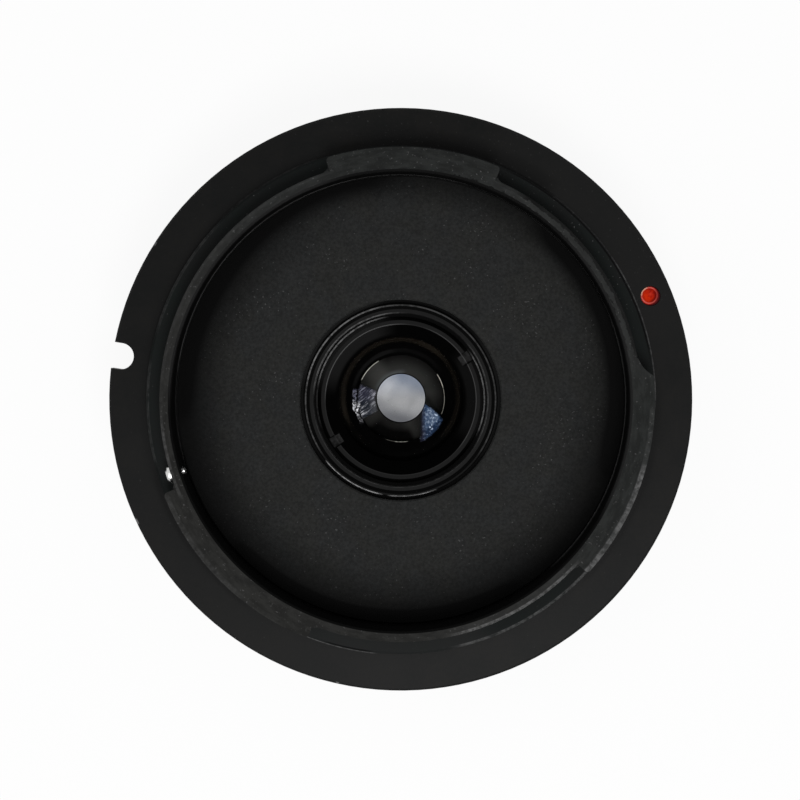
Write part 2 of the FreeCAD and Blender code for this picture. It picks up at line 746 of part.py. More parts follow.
def thrust_washer():
    turned_part("thrust_washer", [
        ("hub_hole + washer_gap", "washer_front"),
        ("shoulder_radius", "washer_front"),
        ("shoulder_radius", "washer_back"),
        ("hub_hole + washer_gap", "washer_back"),
    ])


def lever_ring():
    body = turned_part("lever_ring", [
        ("lever_bore", "lever_back"),
        ("lever_ring_radius", "lever_back"),
        ("lever_ring_radius", "lever_front + edge_break"),
        ("lever_ring_radius - edge_break", "lever_front"),
        ("lever_bore + lever_bore_flare", "lever_front"),
    ])
    arm = new_sketch(body, "lever_arm", "XY_Plane", ("0", "0", "lever_front"), "lever_angle")
    outline(arm, [
        ("lever_ring_radius - lever_ring_thickness", "-0.5*lever_root_width"),
        ("lever_reach", "-0.5*lever_tip_width", "lever_reach", "0", 1),
        ("lever_reach", "0.5*lever_tip_width"),
        ("lever_ring_radius - lever_ring_thickness", "0.5*lever_root_width"),
    ])
    extruded(body, arm, "lever_ring_thickness")
    hole_ring(body, "lever_holes", "lever_screw_circle", "lever_screw_shank_radius + thread_fit",
              "lever_front", "lever_ring_thickness", "lever_screw_count", "lever_screw_turn", rising=True)
    countersinks(body, "lever_seats", "lever_screw_circle", "(lever_screw_head_radius + thread_fit)",
                 "(lever_screw_shank_radius + thread_fit)", "lever_front", "lever_screw_count",
                 "lever_screw_turn", -1)


def lever_grip():
    # a ribbed finger pad on the lever's front
    body = new_body("lever_grip", "lever_angle")
    half = "(0.5*lever_tip_width - grip_inset)"
    start = "(lever_reach - grip_length)"
    pad = new_sketch(body, "grip_pad", "XY_Plane", ("0", "0", "lever_front"))
    outline(pad, [
        (start, f"-{half}"),
        ("lever_reach", f"-{half}", "lever_reach", "0", 1),
        ("lever_reach", half),
        (start, half),
    ])
    extruded(body, pad, "grip_thickness", reverse=True)
    valley = new_sketch(body, "grip_valley", "XY_Plane", ("0", "0", "lever_front - grip_thickness"))
    bar(valley, f"{start} + rib_pitch", f"{start} + rib_pitch + rib_width", "lever_tip_width")
    cut = extruded(body, valley, "rib_depth", cut=True, reverse=True)
    row = body.newObject("PartDesign::LinearPattern", "grip_valleys")
    row.Originals = [cut]
    row.Direction = (next(f for f in body.Origin.OriginFeatures if f.Role == "X_Axis"), [""])
    row.Length = number("rib_pitch*(rib_count - 1)")
    row.setExpression("Length", bound("rib_pitch*(rib_count - 1)"))
    row.Occurrences = int(number("rib_count"))
    row.setExpression("Occurrences", bound("rib_count"))
    body.Tip = row


def lens_cell():
    body = turned_part("lens_cell", [
        ("cell_radius", "-(cell_rear_depth + lip_rounding)"),
        ("cell_radius - lip_rounding", "-cell_rear_depth"),
        ("cell_radius - lip_width", "-cell_rear_depth"),
        ("cell_radius - lip_width - lip_slope", "collar_flat"),
        ("counterbore", "collar_flat"),
        ("counterbore", "counterbore_floor"),
        ("rear_thread", "counterbore_floor - thread_step"),
        ("rear_thread", "thread_foot"),
        ("rear_glass_radius + seat_fit", "thread_foot"),
        ("rear_glass_radius + seat_fit", "fourth_rim"),
        ("fourth_glass_radius + seat_fit", "fourth_rim"),
        ("fourth_glass_radius + seat_fit", "stop_front"),
        ("doublet_radius - cell_flange_lip", "stop_front"),
        ("doublet_radius - cell_flange_lip", "cell_flange_front"),
        ("doublet_radius + seat_fit", "cell_flange_front"),
        ("doublet_radius + seat_fit", "front_seat"),
        ("front_bore", "front_seat"),
        ("front_bore", "front_rim"),
        ("front_thread", "front_rim"),
        ("front_thread", "front_ring_seat"),
        ("cell_radius", "front_ring_seat"),
    ])
    tap = new_sketch(body, "follower_tap", "YZ_Plane", ("0", "0", "cell_radius - follower_thread_length"))
    circle(tap, "0", "follower_level", "follower_shank_radius + thread_fit")
    cut = extruded(body, tap, "2*follower_thread_length", cut=True, reverse=True)
    repeated(body, [cut], "follower_count")


def cam_followers():
    # shoulder screws that stand out of the cell and carry the rollers
    body = new_body("cam_followers")
    sketch = new_sketch(body, "follower_profile", "XZ_Plane", ("0", "follower_level", "0"))
    shaft = revolved(body, outline(sketch, [
        ("cell_radius - follower_thread_length", "0"),
        ("follower_head", "0"),
        ("follower_head", "follower_head_radius"),
        ("follower_neck", "follower_head_radius"),
        ("follower_neck", "follower_shank_radius"),
        ("cell_radius - follower_thread_length", "follower_shank_radius"),
    ]), "H_Axis")
    slot = new_sketch(body, "follower_slot", "YZ_Plane", ("0", "follower_level", "follower_head"))
    bar(slot, "-1.2*follower_head_radius", "1.2*follower_head_radius", "0.3*screw_slot_width")
    cut = extruded(body, slot, "0.5*follower_head_thickness", cut=True)
    repeated(body, [shaft, cut], "follower_count")


def follower_rollers():
    body = new_body("follower_rollers")
    sketch = new_sketch(body, "roller_profile", "XZ_Plane", ("0", "follower_level", "0"))
    outline(sketch, [
        ("cell_radius + slide_fit", "roller_bore"),
        ("follower_neck - slide_fit", "roller_bore"),
        ("follower_neck - slide_fit", "roller_radius"),
        ("cell_radius + slide_fit", "roller_radius"),
    ])
    repeated(body, [revolved(body, sketch, "H_Axis")], "follower_count")


def rear_retaining_ring():
    body = turned_part("rear_retaining_ring", [
        ("ring_land", "ring_foot"),
        ("rear_glass_radius", "ring_foot"),
        ("rear_thread - thread_fit", "ring_foot + edge_break"),
        ("rear_thread - thread_fit", "ring_face - edge_break"),
        ("ring_outer", "ring_face"),
        ("ring_inner", "ring_face"),
    ])
    slot = new_sketch(body, "spanner_slot", "XY_Plane", ("0", "0", "ring_face"), "spanner_angle")
    bar(slot, "ring_outer - spanner_reach", "rear_thread + spanner_width", "0.5*spanner_width")
    repeated(body, [extruded(body, slot, "spanner_depth", cut=True)], "2")


def rear_element():
    edge = "rear_glass_back - " + sag("rear_glass_rear_curve", "rear_glass_radius")
    turned_part("rear_element", [
        ("0", "rear_glass_back", "0", "rear_glass_back - rear_glass_rear_curve", -1),
        ("rear_glass_radius", edge),
        ("rear_glass_radius", "rear_glass_rim"),
        ("rear_land", "rear_glass_rim", "0", "rear_glass_front - rear_glass_front_curve", 1),
        ("0", "rear_glass_front"),
    ])


def rear_spacer():
    # a blackened cone between the rear element and the fourth
    turned_part("rear_spacer", [
        ("rear_land", "rear_glass_rim - thread_fit"),
        ("rear_glass_radius", "rear_glass_rim - thread_fit"),
        ("rear_glass_radius", "fourth_rim + thread_fit"),
        ("spacer_hole", "fourth_back + thread_fit - " + sag("fourth_glass_curve", "spacer_hole")),
    ])


def fourth_element():
    turned_part("fourth_element", [
        ("0", "fourth_back", "0", "fourth_back - fourth_glass_curve", -1),
        ("fourth_glass_radius", "fourth_rim"),
        ("fourth_glass_radius", "fourth_front"),
        ("0", "fourth_front"),
    ])


def stop_ring():
    # the fixed stop: a blackened funnel that ends in a sharp round hole
    turned_part("stop_ring", [
        ("stop_radius", "stop_front + stop_edge"),
        ("stop_funnel", "fourth_front"),
        ("fourth_glass_radius", "fourth_front"),
        ("fourth_glass_radius", "stop_front"),
        ("stop_radius", "stop_front"),
    ])


def third_element():
    turned_part("third_element", [
        ("0", "third_back"),
        ("doublet_radius", "third_back"),
        ("doublet_radius", "cement_rim", "0", "cement_pole + cement_curve", -1),
        ("0", "cement_pole"),
    ])


def second_element():
    turned_part("second_element", [
        ("0", "cement_pole", "0", "cement_pole + cement_curve", 1),
        ("doublet_radius", "cement_rim"),
        ("doublet_radius", "second_rim", "0", "second_pole + second_glass_curve", -1),
        ("0", "second_pole"),
    ])


def front_spacer():
    inner = "(doublet_radius - front_spacer_wall)"
    back = "second_pole - thread_fit + " + sag("second_glass_curve", inner)
    turned_part("front_spacer", [
        (inner, back),
        ("doublet_radius", back),
        ("doublet_radius", "front_seat + thread_fit"),
        (inner, "front_seat + thread_fit"),
    ])


def front_element():
    turned_part("front_element", [
        ("0", "front_back_pole", "0", "front_back_pole + front_glass_rear_curve", 1),
        ("front_land", "front_seat"),
        ("front_glass_radius", "front_seat"),
        ("front_glass_radius", "front_rim", "0", "front_pole + front_glass_front_curve", -1),
        ("0", "front_pole"),
    ])


def front_retaining_ring():
    body = turned_part("front_retaining_ring", [
        ("retainer_bore", "retainer_back"),
        ("front_bore - thread_fit", "retainer_back"),
        ("front_bore - thread_fit", "front_rim - thread_fit"),
        ("front_thread - thread_fit", "front_rim - thread_fit"),
        ("front_thread - thread_fit", "front_ring_seat"),
        ("retainer_bore + retainer_flare", "front_ring_seat"),
    ])
    slot = new_sketch(body, "retainer_slot", "XY_Plane", ("0", "0", "front_ring_seat"), "spanner_angle")
    bar(slot, "retainer_bore + 0.5*retainer_flare", "front_thread + spanner_width", "0.35*spanner_width")
    repeated(body, [extruded(body, slot, "0.5*spanner_depth", cut=True, reverse=True)], "2")


def front_ring():
    # the stepped ring round the front glass, which keeps stray light down
    corners = [("front_thread", "front_ring_seat")]
    corners.append(("cell_radius - seat_fit", "front_ring_seat"))
    corners.append(("cell_radius - seat_fit", "cell_front"))
    run = "(cell_radius - front_ring_lip - front_thread)/front_ring_steps"
    rise = "(front_ring_thickness - front_ring_step)/front_ring_steps"
    for i in range(int(number("front_ring_steps"))):
        radius = f"cell_radius - front_ring_lip - {i}*{run}"
        corners.append((radius, f"cell_front + {i}*{rise}"))
        corners.append((radius, f"cell_front + {i + 1}*{rise}"))
    corners.append(("front_thread", "front_ring_seat - front_ring_step"))
    turned_part("front_ring", corners)


mount_ring()
index_dot()
stop_screw()
rear_plate()
grip_housing()
scale_plate()
guide_barrel()
infinity_shim()
cam_ring()
thrust_washer()
lever_ring()
lever_grip()
lens_cell()
cam_followers()
follower_rollers()
rear_retaining_ring()
rear_element()
rear_spacer()
fourth_element()
stop_ring()
third_element()
second_element()
front_spacer()
front_element()
front_retaining_ring()
front_ring()
screw_ring("housing_screws", "housing_screw_circle", "screw_head_radius", "screw_shank_radius",
           "housing_screw_length", "web_top", "housing_screw_count", "housing_screw_angle", 1)
screw_ring("barrel_screws", "barrel_screw_circle", "screw_head_radius", "screw_shank_radius",
           "barrel_screw_length", "web_top", "barrel_screw_count", "barrel_screw_angle", 1)
screw_ring("lever_screws", "lever_screw_circle", "lever_screw_head_radius", "lever_screw_shank_radius",
           "lever_screw_length", "lever_front", "lever_screw_count", "lever_screw_turn", -1)
doc.recompute()

faults = [f"{o.Label}: {o.State}" for o in doc.Objects if {"Invalid", "Error"} & set(o.State)]
faults += [f"{p.Label}: no valid shape" for p in parts if p.Shape.isNull() or not p.Shape.isValid()]
if faults:
    raise SystemExit("\n".join(faults))
os.makedirs("parts", exist_ok=True)
for part in parts:
    part.Shape.exportStep(f"parts/{part.Label}.step")
    print(f"{part.Label}: {len(part.Shape.Solids)} solids, {part.Shape.Volume:.2f} mm3")
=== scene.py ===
import json
import math
from functools import cached_property

import bpy
import numpy as np
from mathutils import Matrix, Vector


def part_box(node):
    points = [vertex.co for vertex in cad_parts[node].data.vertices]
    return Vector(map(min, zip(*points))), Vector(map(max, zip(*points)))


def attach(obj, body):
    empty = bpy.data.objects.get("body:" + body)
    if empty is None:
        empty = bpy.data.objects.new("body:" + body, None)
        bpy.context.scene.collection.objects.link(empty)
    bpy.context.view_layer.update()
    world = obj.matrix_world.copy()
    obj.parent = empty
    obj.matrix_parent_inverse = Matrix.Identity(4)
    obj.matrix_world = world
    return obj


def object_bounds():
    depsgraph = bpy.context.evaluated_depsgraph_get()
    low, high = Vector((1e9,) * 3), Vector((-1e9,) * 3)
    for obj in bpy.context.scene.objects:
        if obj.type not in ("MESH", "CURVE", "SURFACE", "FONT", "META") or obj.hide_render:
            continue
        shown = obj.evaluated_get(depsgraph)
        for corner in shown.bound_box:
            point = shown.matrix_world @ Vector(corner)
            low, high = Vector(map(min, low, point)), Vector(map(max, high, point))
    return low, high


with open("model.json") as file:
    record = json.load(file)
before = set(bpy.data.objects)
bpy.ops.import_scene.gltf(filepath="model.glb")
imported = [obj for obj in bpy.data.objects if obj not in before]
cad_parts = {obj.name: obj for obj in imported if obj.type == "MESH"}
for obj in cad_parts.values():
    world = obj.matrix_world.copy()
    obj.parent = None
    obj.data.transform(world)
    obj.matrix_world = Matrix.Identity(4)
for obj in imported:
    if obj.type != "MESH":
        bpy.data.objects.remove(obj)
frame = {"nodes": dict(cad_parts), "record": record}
nodes = frame["nodes"]
cadBox = [list(corner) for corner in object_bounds()]
mm = 0.001
print("frame loaded:", len(nodes), "nodes")


class Wire:
    # one output of a node; sums and comparisons on it add Math nodes
    def __init__(self, finish, socket):
        self.finish, self.socket = finish, socket

    def math(self, operation, *values):
        return self.finish.node("ShaderNodeMath", {"operation": operation}, dict(enumerate(values)))

    def __add__(self, other):
        return self.math("ADD", self, other)

    def __sub__(self, other):
        return self.math("SUBTRACT", self, other)

    def __rsub__(self, other):
        return self.math("SUBTRACT", other, self)

    def __mul__(self, other):
        return self.math("MULTIPLY", self, other)

    def __truediv__(self, other):
        return self.math("DIVIDE", self, other)

    def __pow__(self, other):
        return self.math("POWER", self, other)

    def __abs__(self):
        return self.math("ABSOLUTE", self)

    def most(self, other):
        return self.math("MAXIMUM", self, other)

    def least(self, other):
        return self.math("MINIMUM", self, other)

    __radd__ = __add__
    __rmul__ = __mul__


class Finish:
    # the nodes of one material, or of the world, and the patterns that they share
    def __init__(self, owner, ending="ShaderNodeOutputMaterial"):
        owner.use_nodes = True
        self.owner, self.tree, self.ending = owner, owner.node_tree, ending
        self.tree.nodes.clear()

    @cached_property
    def place(self):
        return self.node("ShaderNodeTexCoord", output="Object")

    @cached_property
    def parts(self):
        apart = self.node("ShaderNodeSeparateXYZ", inputs={0: self.place}).socket.node
        return [Wire(self, apart.outputs[i]) * 1000 for i in range(3)]  # millimetres

    @cached_property
    def height(self):
        return self.parts[2]

    @cached_property
    def radius(self):
        x, y = self.parts[:2]
        return (x * x + y * y) ** 0.5

    def node(self, kind, settings=(), inputs=(), output=0):
        made = self.tree.nodes.new(kind)
        for name, value in dict(settings).items():
            setattr(made, name, value)
        for name, value in dict(inputs).items():
            if isinstance(value, Wire):
                self.tree.links.new(value.socket, made.inputs[name])
            else:
                made.inputs[name].default_value = value
        return Wire(self, made.outputs[output])

    def rise(self, value, low, high):
        # 0 below low, 1 above high, with a soft start and end
        settings = {"interpolation_type": "SMOOTHSTEP", "clamp": True}
        return self.node("ShaderNodeMapRange", settings, {0: value, 1: low, 2: high, 3: 0.0, 4: 1.0})

    def fall(self, value, low, high):
        # 1 below low, 0 above high
        return 1 - self.rise(value, low, high)

    def band(self, value, low, high, soft):
        # 1 between low and high, falling to 0 over soft at either side
        middle, half = (low + high) / 2, (high - low) / 2
        return self.fall(abs(value - middle), half, half + soft)

    def along(self, turn):
        # millimetres from the axis, along the direction at that angle
        x, y = self.parts[:2]
        turn = math.radians(turn)
        return x * math.cos(turn) + y * math.sin(turn)

    def around(self, turn):
        # degrees counterclockwise about the axis, from the direction at that angle
        ahead, aside = self.along(turn), self.along(turn + 90)
        return aside.math("ARCTAN2", aside, ahead) * math.degrees(1)

    def towards(self, turn):
        # 1 on the side at that angle, -1 on the far side
        return self.along(turn) / self.radius.most(0.01)

    def arcs(self, rows):
        # a sum of sectors, each with its start, end and soft ends in degrees, and its strength
        total = 0
        for start, end, soft, strength in rows:
            middle, half = (start + end) / 2, (end - start) / 2
            total = self.fall(abs(self.around(middle)), half, half + soft) * strength + total
        return total

    def noise(self, size, detail, rough=0.55, warp=0.0, place=None):
        # cloudy values round 0.5, whose lumps are size millimetres across
        units = 1 if place else 1000  # a place that is handed in is in mm, the piece's own in metres
        inputs = {"Vector": place or self.place, "Scale": units / size,
                  "Detail": detail, "Roughness": rough, "Distortion": warp}
        return self.node("ShaderNodeTexNoise", inputs=inputs)

    def patches(self, size, detail, rough, low, high, place=None):
        # a noise whose values from low to high become 0 to 1
        return self.rise(self.noise(size, detail, rough, place=place), low, high)

    def glintAndWearPatches(self, values):
        # how strongly painted highlights and rubbed marks show from place to place
        return values["glintLeast"] + values["glintShare"] * self.patches(*values["rubAndGlint"])

    def drawnOut(self, turn, along, across):
        # the place in millimetres, drawn out at that angle, for marks longer than they are wide
        inputs = {0: self.along(turn) / along, 1: self.along(turn + 90) / across, 2: self.height}
        return self.node("ShaderNodeCombineXYZ", inputs=inputs)

    def ringed(self, along, across):
        # the place as lengths round the axis, out from it and up, for marks that run round it
        length = self.around(0) * 0.3  # mm, as on a circle 17 mm from the axis
        inputs = {0: length / along, 1: self.radius / across, 2: self.height / across}
        return self.node("ShaderNodeCombineXYZ", inputs=inputs)

    def tint(self, factor, first, second):
        # first colour where the factor is 0 and second where it is 1
        inputs = {0: factor, 6: self.colour(first), 7: self.colour(second)}
        return self.node("ShaderNodeMix", {"data_type": "RGBA"}, inputs, output=2)

    def colour(self, value):
        return value if isinstance(value, Wire) else (*value, 1)

    def bump(self, height, depth):
        # depth is in millimetres
        inputs = {"Height": height, "Distance": depth * mm, "Strength": 1.0}
        return self.node("ShaderNodeBump", inputs=inputs)

    def surface(self, **sockets):
        inputs = {name.replace("_", " "): value for name, value in sockets.items()}
        inputs["Base Color"] = self.colour(inputs["Base Color"])
        return self.node("ShaderNodeBsdfPrincipled", inputs=inputs)

    def done(self, shader):
        end = self.tree.nodes.new(self.ending)
        self.tree.links.new(shader.socket, end.inputs["Surface"])
        return self.owner


def finish(name):
    return Finish(bpy.data.materials.new(name))


def grey(level, cast=(1, 1, 1)):
    # a grey as a screen shows it, from 0 to 255, as a linear colour
    linear = ((level / 255 + 0.055) / 1.055) ** 2.4
    return tuple(linear * part for part in cast)


# How the dictionaries below give a look. A tone runs from 0 to 255, and a cast is the shares of
# red, green and blue in it. Noise is the size of its lumps in mm, detail and roughness, and patches
# add the values of the noise that turn into 0 and 1. A noise is drawn out by so much round the axis
# and across that. Radii (from the optical axis) and heights (over the flange's face) are in mm, as
# start and end of a soft edge, or as start, end and softness of a band. Each row of arcs has start,
# end and soft ends in degrees, and a strength.

mount = {
    # tones; those for the lighter and darker flange, the end face's lighter sectors and darker rims, the
    # wall's top, the ledge and the edges are painted light, shade and highlights
    "flange": 12, "flangeCloud": 18, "litFlange": 21, "stepShade": 5, "flangeDust": 70,
    "endFace": 26, "endFaceLight": 37, "litEndFace": 64, "speck": 70, "rimShadeTone": 9,
    "gapFloor": 19, "gapLit": 44, "gapDust": 96,
    "wall": 3, "litWallTop": 30, "ledgeHighlight": 85,
    "groove": 2, "sideWear": 70, "edge": 110,
    "cool": (0.93, 1.02, 1.01), "warm": (1.05, 1.01, 0.95), "green": (0.96, 1.03, 0.99),
    "olive": (1.01, 1.01, 0.95), "teal": (0.84, 1.08, 1.03),
    "grain": (0.16, 4.0, 0.6), "grainDepth": 0.008,
    "roughness": 0.32, "grainRoughness": 0.12, "tubeRoughness": 0.2, "gloss": 0.045,
    "sideCoat": 0.9, "sideCoatRoughness": 0.3,
    # patterns
    "cloud": (5.0, 3.0, 0.55, 0.35, 0.65), "mottle": (0.5, 3.0, 0.7, 0.35, 0.65),
    "lumps": (0.6, 3.0, 0.65, 0.36, 0.68), "lumpsDrawn": (2.0, 1.0),
    "specks": (0.33, 2.0, 0.8, 0.63, 0.72), "raggedness": (0.5, 3.0, 0.7), "raggednessDrawn": (0.9, 0.6),
    "dust": (0.24, 1.0, 0.5), "dustEdge": (0.76, 0.80), "crumbs": (0.5, 4.0, 0.8, 0.62, 0.70),
    "rubAndGlint": (0.7, 4.0, 0.75, 0.35, 0.65), "glintLeast": 0.25, "glintShare": 0.95,
    "sideRub": (1.2, 4.0, 0.7, 0.55, 0.75),
    "mottleShare": 0.4, "gapDustShare": 0.7, "flangeDustShare": 0.35, "sideWearShare": 0.35,
    "oliveSide": 225, "oliveEdge": (-0.3, 0.5),
    # radii
    "stepShadeEdge": (26.95, 28.2), "lugShadePatchEdge": (28.0, 29.2), "stepFootShadeEdge": (27.3, 27.9),
    "innerRimShade": (24.16, 24.24), "outerRimShade": (24.72, 24.80), "endRimShadeEnd": (25.1, 25.2),
    "innerRaggedness": 1.2, "outerRaggedness": 0.8,
    "boreEdge": (24.2, 24.24), "tubeEdge": (24.82, 25.06, 0.08), "lugEdge": (25.90, 26.08),
    "stepEdge": (26.66, 26.92, 0.06), "stepFoot": (26.98, 27.14, 0.06),
    "crumbBand": (26.9, 27.3, 0.15), "grooveBand": (26.73, 26.88, 0.03), "nickEdge": (30.78, 30.86),
    "flangeSide": (30.98, 31.04), "tubeSide": (25.08, 25.16, 0.02), "lugSide": (26.42, 26.48),
    # heights
    "flangeTop": (0.5, 0.9), "endFaceStart": (4.6, 4.7), "boreStart": (-1.0, -0.9),
    "litWallTopStart": (3.0, 5.0), "ledgeHighlightEnd": (-0.3, 0.0), "edgeStart": (4.7, 4.8),
    "stepStart": (0.8, 0.9), "stepEnd": (1.3, 1.5), "footEnd": (0.1, 0.3),
    "tubeSideBand": (1.5, 4.8, 0.05), "lugSideStart": (2.8, 3.2), "lugSideEnd": (4.8, 4.9),
    # arcs
    "litFlangeArcs": ((20, 62, 14, 0.5), (195, 262, 20, 0.35)),
    "stepShadeShare": 0.6, "stepShadeMost": 0.9, "stepShadeGaps": ((8, 52, 8, 0.6), (225, 300, 20, 0.4)),
    "lugShadePatch": ((57, 83, 5, 0.6),), "northwestShade": ((116, 168, 14, 0.25),),
    "stepFootShade": ((318, 345, 4, 0.8), (345, 358, 5, 0.3), (200, 230, 6, 0.75)),
    "litEndFaceArcs": ((286, 312, 10, 0.12), (112, 172, 10, 0.10), (12, 62, 10, 0.16)),
    "innerRimShadeArcs": ((15, 75, 8, 0.85), (75, 110, 15, 0.35)),
    "outerRimShadeArcs": ((14, 56, 6, 0.8), (56, 64, 3, 0.3)),
    "gapLitArcs": ((236, 285, 10, 0.3),), "dustArcs": ((25, 105, 12, 0.05),),
    "litWallTopArcs": ((-20, 38, 12, 1.0), (50, 98, 10, 0.28), (112, 172, 12, 1.0)),
    "ledgeHighlightArcs": (
        (108, 168, 8, 1.0), (78, 100, 8, 0.6), (-40, 16, 10, 0.75), (26, 68, 8, 0.15),
        (178, 192, 6, 0.35)),
    "tubeEdgeArcs": ((286, 314, 5, 0.5), (188, 200, 6, 0.18), (110, 180, 20, 0.04)),
    "lugEdgeArcs": ((318, 343, 4, 0.50), (343, 356, 5, 0.10), (204, 226, 6, 0.10), (226, 240, 4, 0.03)),
    "stepEdgeArcs": ((286, 317, 5, 0.34), (140, 160, 6, 0.1), (174, 192, 4, 0.12)),
    "stepFootArcs": ((2, 30, 5, 0.32), (30, 50, 5, 0.16), (112, 130, 6, 0.12), (249, 263, 2, 0.42)),
    "crumbArcs": ((44, 68, 6, 0.4),),
    "grooveArcs": ((14, 62, 5, 1.0), (254, 262, 2, 0.8), (110, 190, 20, 0.3)),
    "nickArcs": ((204.3, 205.1, 0.3, 0.8), (147.1, 147.7, 0.2, 0.5), (257.2, 257.6, 0.2, 0.7)),
}


def mountFinish():
    # anodised black: a satin flange, a finely blasted tube, painted light and shade, and painted
    # highlights on edges
    f, v = finish("mountAnodised"), mount
    r, z = f.radius, f.height
    grain = f.noise(*v["grain"])
    cloud = f.patches(*v["cloud"])
    mottle = (1 - v["mottleShare"]) * cloud + v["mottleShare"] * f.patches(*v["mottle"])
    flange = f.tint(mottle, grey(v["flange"], v["cool"]), grey(v["flangeCloud"], v["warm"]))
    # lighter in the northeast and the southwest: painted light
    flange = f.tint(f.arcs(v["litFlangeArcs"]), flange, grey(v["litFlange"]))
    # darker beside the step, in a blotch beside the north lug and over the northwest: painted shade
    stepShade = f.fall(r, *v["stepShadeEdge"]) * (v["stepShadeShare"] - f.arcs(v["stepShadeGaps"]))
    stepShade = stepShade + f.arcs(v["lugShadePatch"]) * f.fall(r, *v["lugShadePatchEdge"]) + f.arcs(v["northwestShade"])
    stepShade = stepShade + f.fall(r, *v["stepFootShadeEdge"]) * f.arcs(v["stepFootShade"])
    flange = f.tint(stepShade.least(v["stepShadeMost"]), flange, grey(v["stepShade"]))

    lumps = f.patches(*v["lumps"], place=f.ringed(*v["lumpsDrawn"]))
    side = f.rise(f.towards(v["oliveSide"]), *v["oliveEdge"])
    dark, light = (
        f.tint(side, grey(v[tone], v["green"]), grey(v[tone], v["olive"]))
        for tone in ("endFace", "endFaceLight"))
    endFace = f.tint(lumps, dark, light)
    # the end face lighter in three sectors: painted light
    endFace = f.tint(f.arcs(v["litEndFaceArcs"]), endFace, grey(v["litEndFace"]))
    endFace = f.tint(f.patches(*v["specks"]), endFace, grey(v["speck"]))
    # darker ragged rims along the end face's inner and outer edges in the northeast: painted shade
    raggedness = f.noise(*v["raggedness"], place=f.ringed(*v["raggednessDrawn"])) - 0.5
    endRimShade = f.fall(r + v["innerRaggedness"] * raggedness, *v["innerRimShade"]) * f.arcs(v["innerRimShadeArcs"])
    endRimShade = endRimShade + f.rise(r + v["outerRaggedness"] * raggedness, *v["outerRimShade"]) * f.arcs(v["outerRimShadeArcs"])
    endFace = f.tint(endRimShade.least(1.0) * f.fall(r, *v["endRimShadeEnd"]), endFace, grey(v["rimShadeTone"]))

    floor = f.tint(cloud, grey(v["gapFloor"], v["teal"]), grey(v["gapFloor"], v["cool"]))
    floor = f.tint(f.arcs(v["gapLitArcs"]), floor, grey(v["gapLit"]))
    dust = f.rise(f.noise(*v["dust"]) + f.arcs(v["dustArcs"]), *v["dustEdge"])
    floor = f.tint(dust * v["gapDustShare"], floor, grey(v["gapDust"]))
    flange = f.tint(dust * v["flangeDustShare"], flange, grey(v["flangeDust"]))
    aboveFlange = f.rise(z, *v["flangeTop"])
    body = f.tint(f.rise(z, *v["endFaceStart"]), floor, endFace)
    body = f.tint(aboveFlange, flange, body)

    # the wall's upper part lighter at some sides: painted light
    litWallTop = f.rise(z, *v["litWallTopStart"]) * f.arcs(v["litWallTopArcs"])
    wall = f.tint(litWallTop.least(1.0), grey(v["wall"]), grey(v["litWallTop"]))
    # a bright line at the wall's foot at some sides: a painted highlight
    ledgeHighlight = f.fall(z, *v["ledgeHighlightEnd"]) * f.arcs(v["ledgeHighlightArcs"])
    wall = f.tint(ledgeHighlight.least(1.0), wall, grey(v["ledgeHighlight"]))
    body = f.tint(f.fall(r, *v["boreEdge"]) * f.rise(z, *v["boreStart"]), body, wall)

    # painted highlights on the tube's edge, the lugs' rims and the step, at the sides where light would
    # catch them and broken up in patches; light crumbs by the step, and small nicks in the flange's rim
    top = f.rise(z, *v["edgeStart"])
    step = f.rise(z, *v["stepStart"]) * f.fall(z, *v["stepEnd"])
    foot = f.fall(z, *v["footEnd"])
    wearAndGlint = f.band(r, *v["tubeEdge"]) * top * f.arcs(v["tubeEdgeArcs"])
    wearAndGlint = wearAndGlint + f.rise(r, *v["lugEdge"]) * top * f.arcs(v["lugEdgeArcs"])
    wearAndGlint = wearAndGlint + f.band(r, *v["stepEdge"]) * step * f.arcs(v["stepEdgeArcs"])
    wearAndGlint = wearAndGlint + f.band(r, *v["stepFoot"]) * foot * f.arcs(v["stepFootArcs"])
    crumbs = f.patches(*v["crumbs"]) * f.band(r, *v["crumbBand"]) * foot
    wearAndGlint = wearAndGlint + crumbs * f.arcs(v["crumbArcs"])
    wearAndGlint = wearAndGlint * f.glintAndWearPatches(v) + f.rise(r, *v["nickEdge"]) * f.arcs(v["nickArcs"])
    # a dark line just inside the step's top edge, strongest in the northeast
    groove = f.band(r, *v["grooveBand"]) * step * f.arcs(v["grooveArcs"])
    body = f.tint(groove, body, grey(v["groove"]))

    sides = f.rise(r, *v["flangeSide"]) + f.band(r, *v["tubeSide"]) * f.band(z, *v["tubeSideBand"])
    lugSides = f.rise(r, *v["lugSide"]) * f.rise(z, *v["lugSideStart"]) * f.fall(z, *v["lugSideEnd"])
    sides = sides + lugSides
    sideWear = f.patches(*v["sideRub"]) * sides * v["sideWearShare"]
    body = f.tint(sideWear.least(1.0), body, grey(v["sideWear"]))
    return f.done(f.surface(
        Base_Color=f.tint(wearAndGlint.least(1.0), body, grey(v["edge"])),
        Coat_Weight=(sides * v["sideCoat"]).least(v["sideCoat"]),
        Coat_Roughness=v["sideCoatRoughness"],
        Roughness=v["roughness"] + v["grainRoughness"] * grain + v["tubeRoughness"] * aboveFlange,
        Specular_IOR_Level=v["gloss"],
        Normal=f.bump(grain, v["grainDepth"]),
    ))


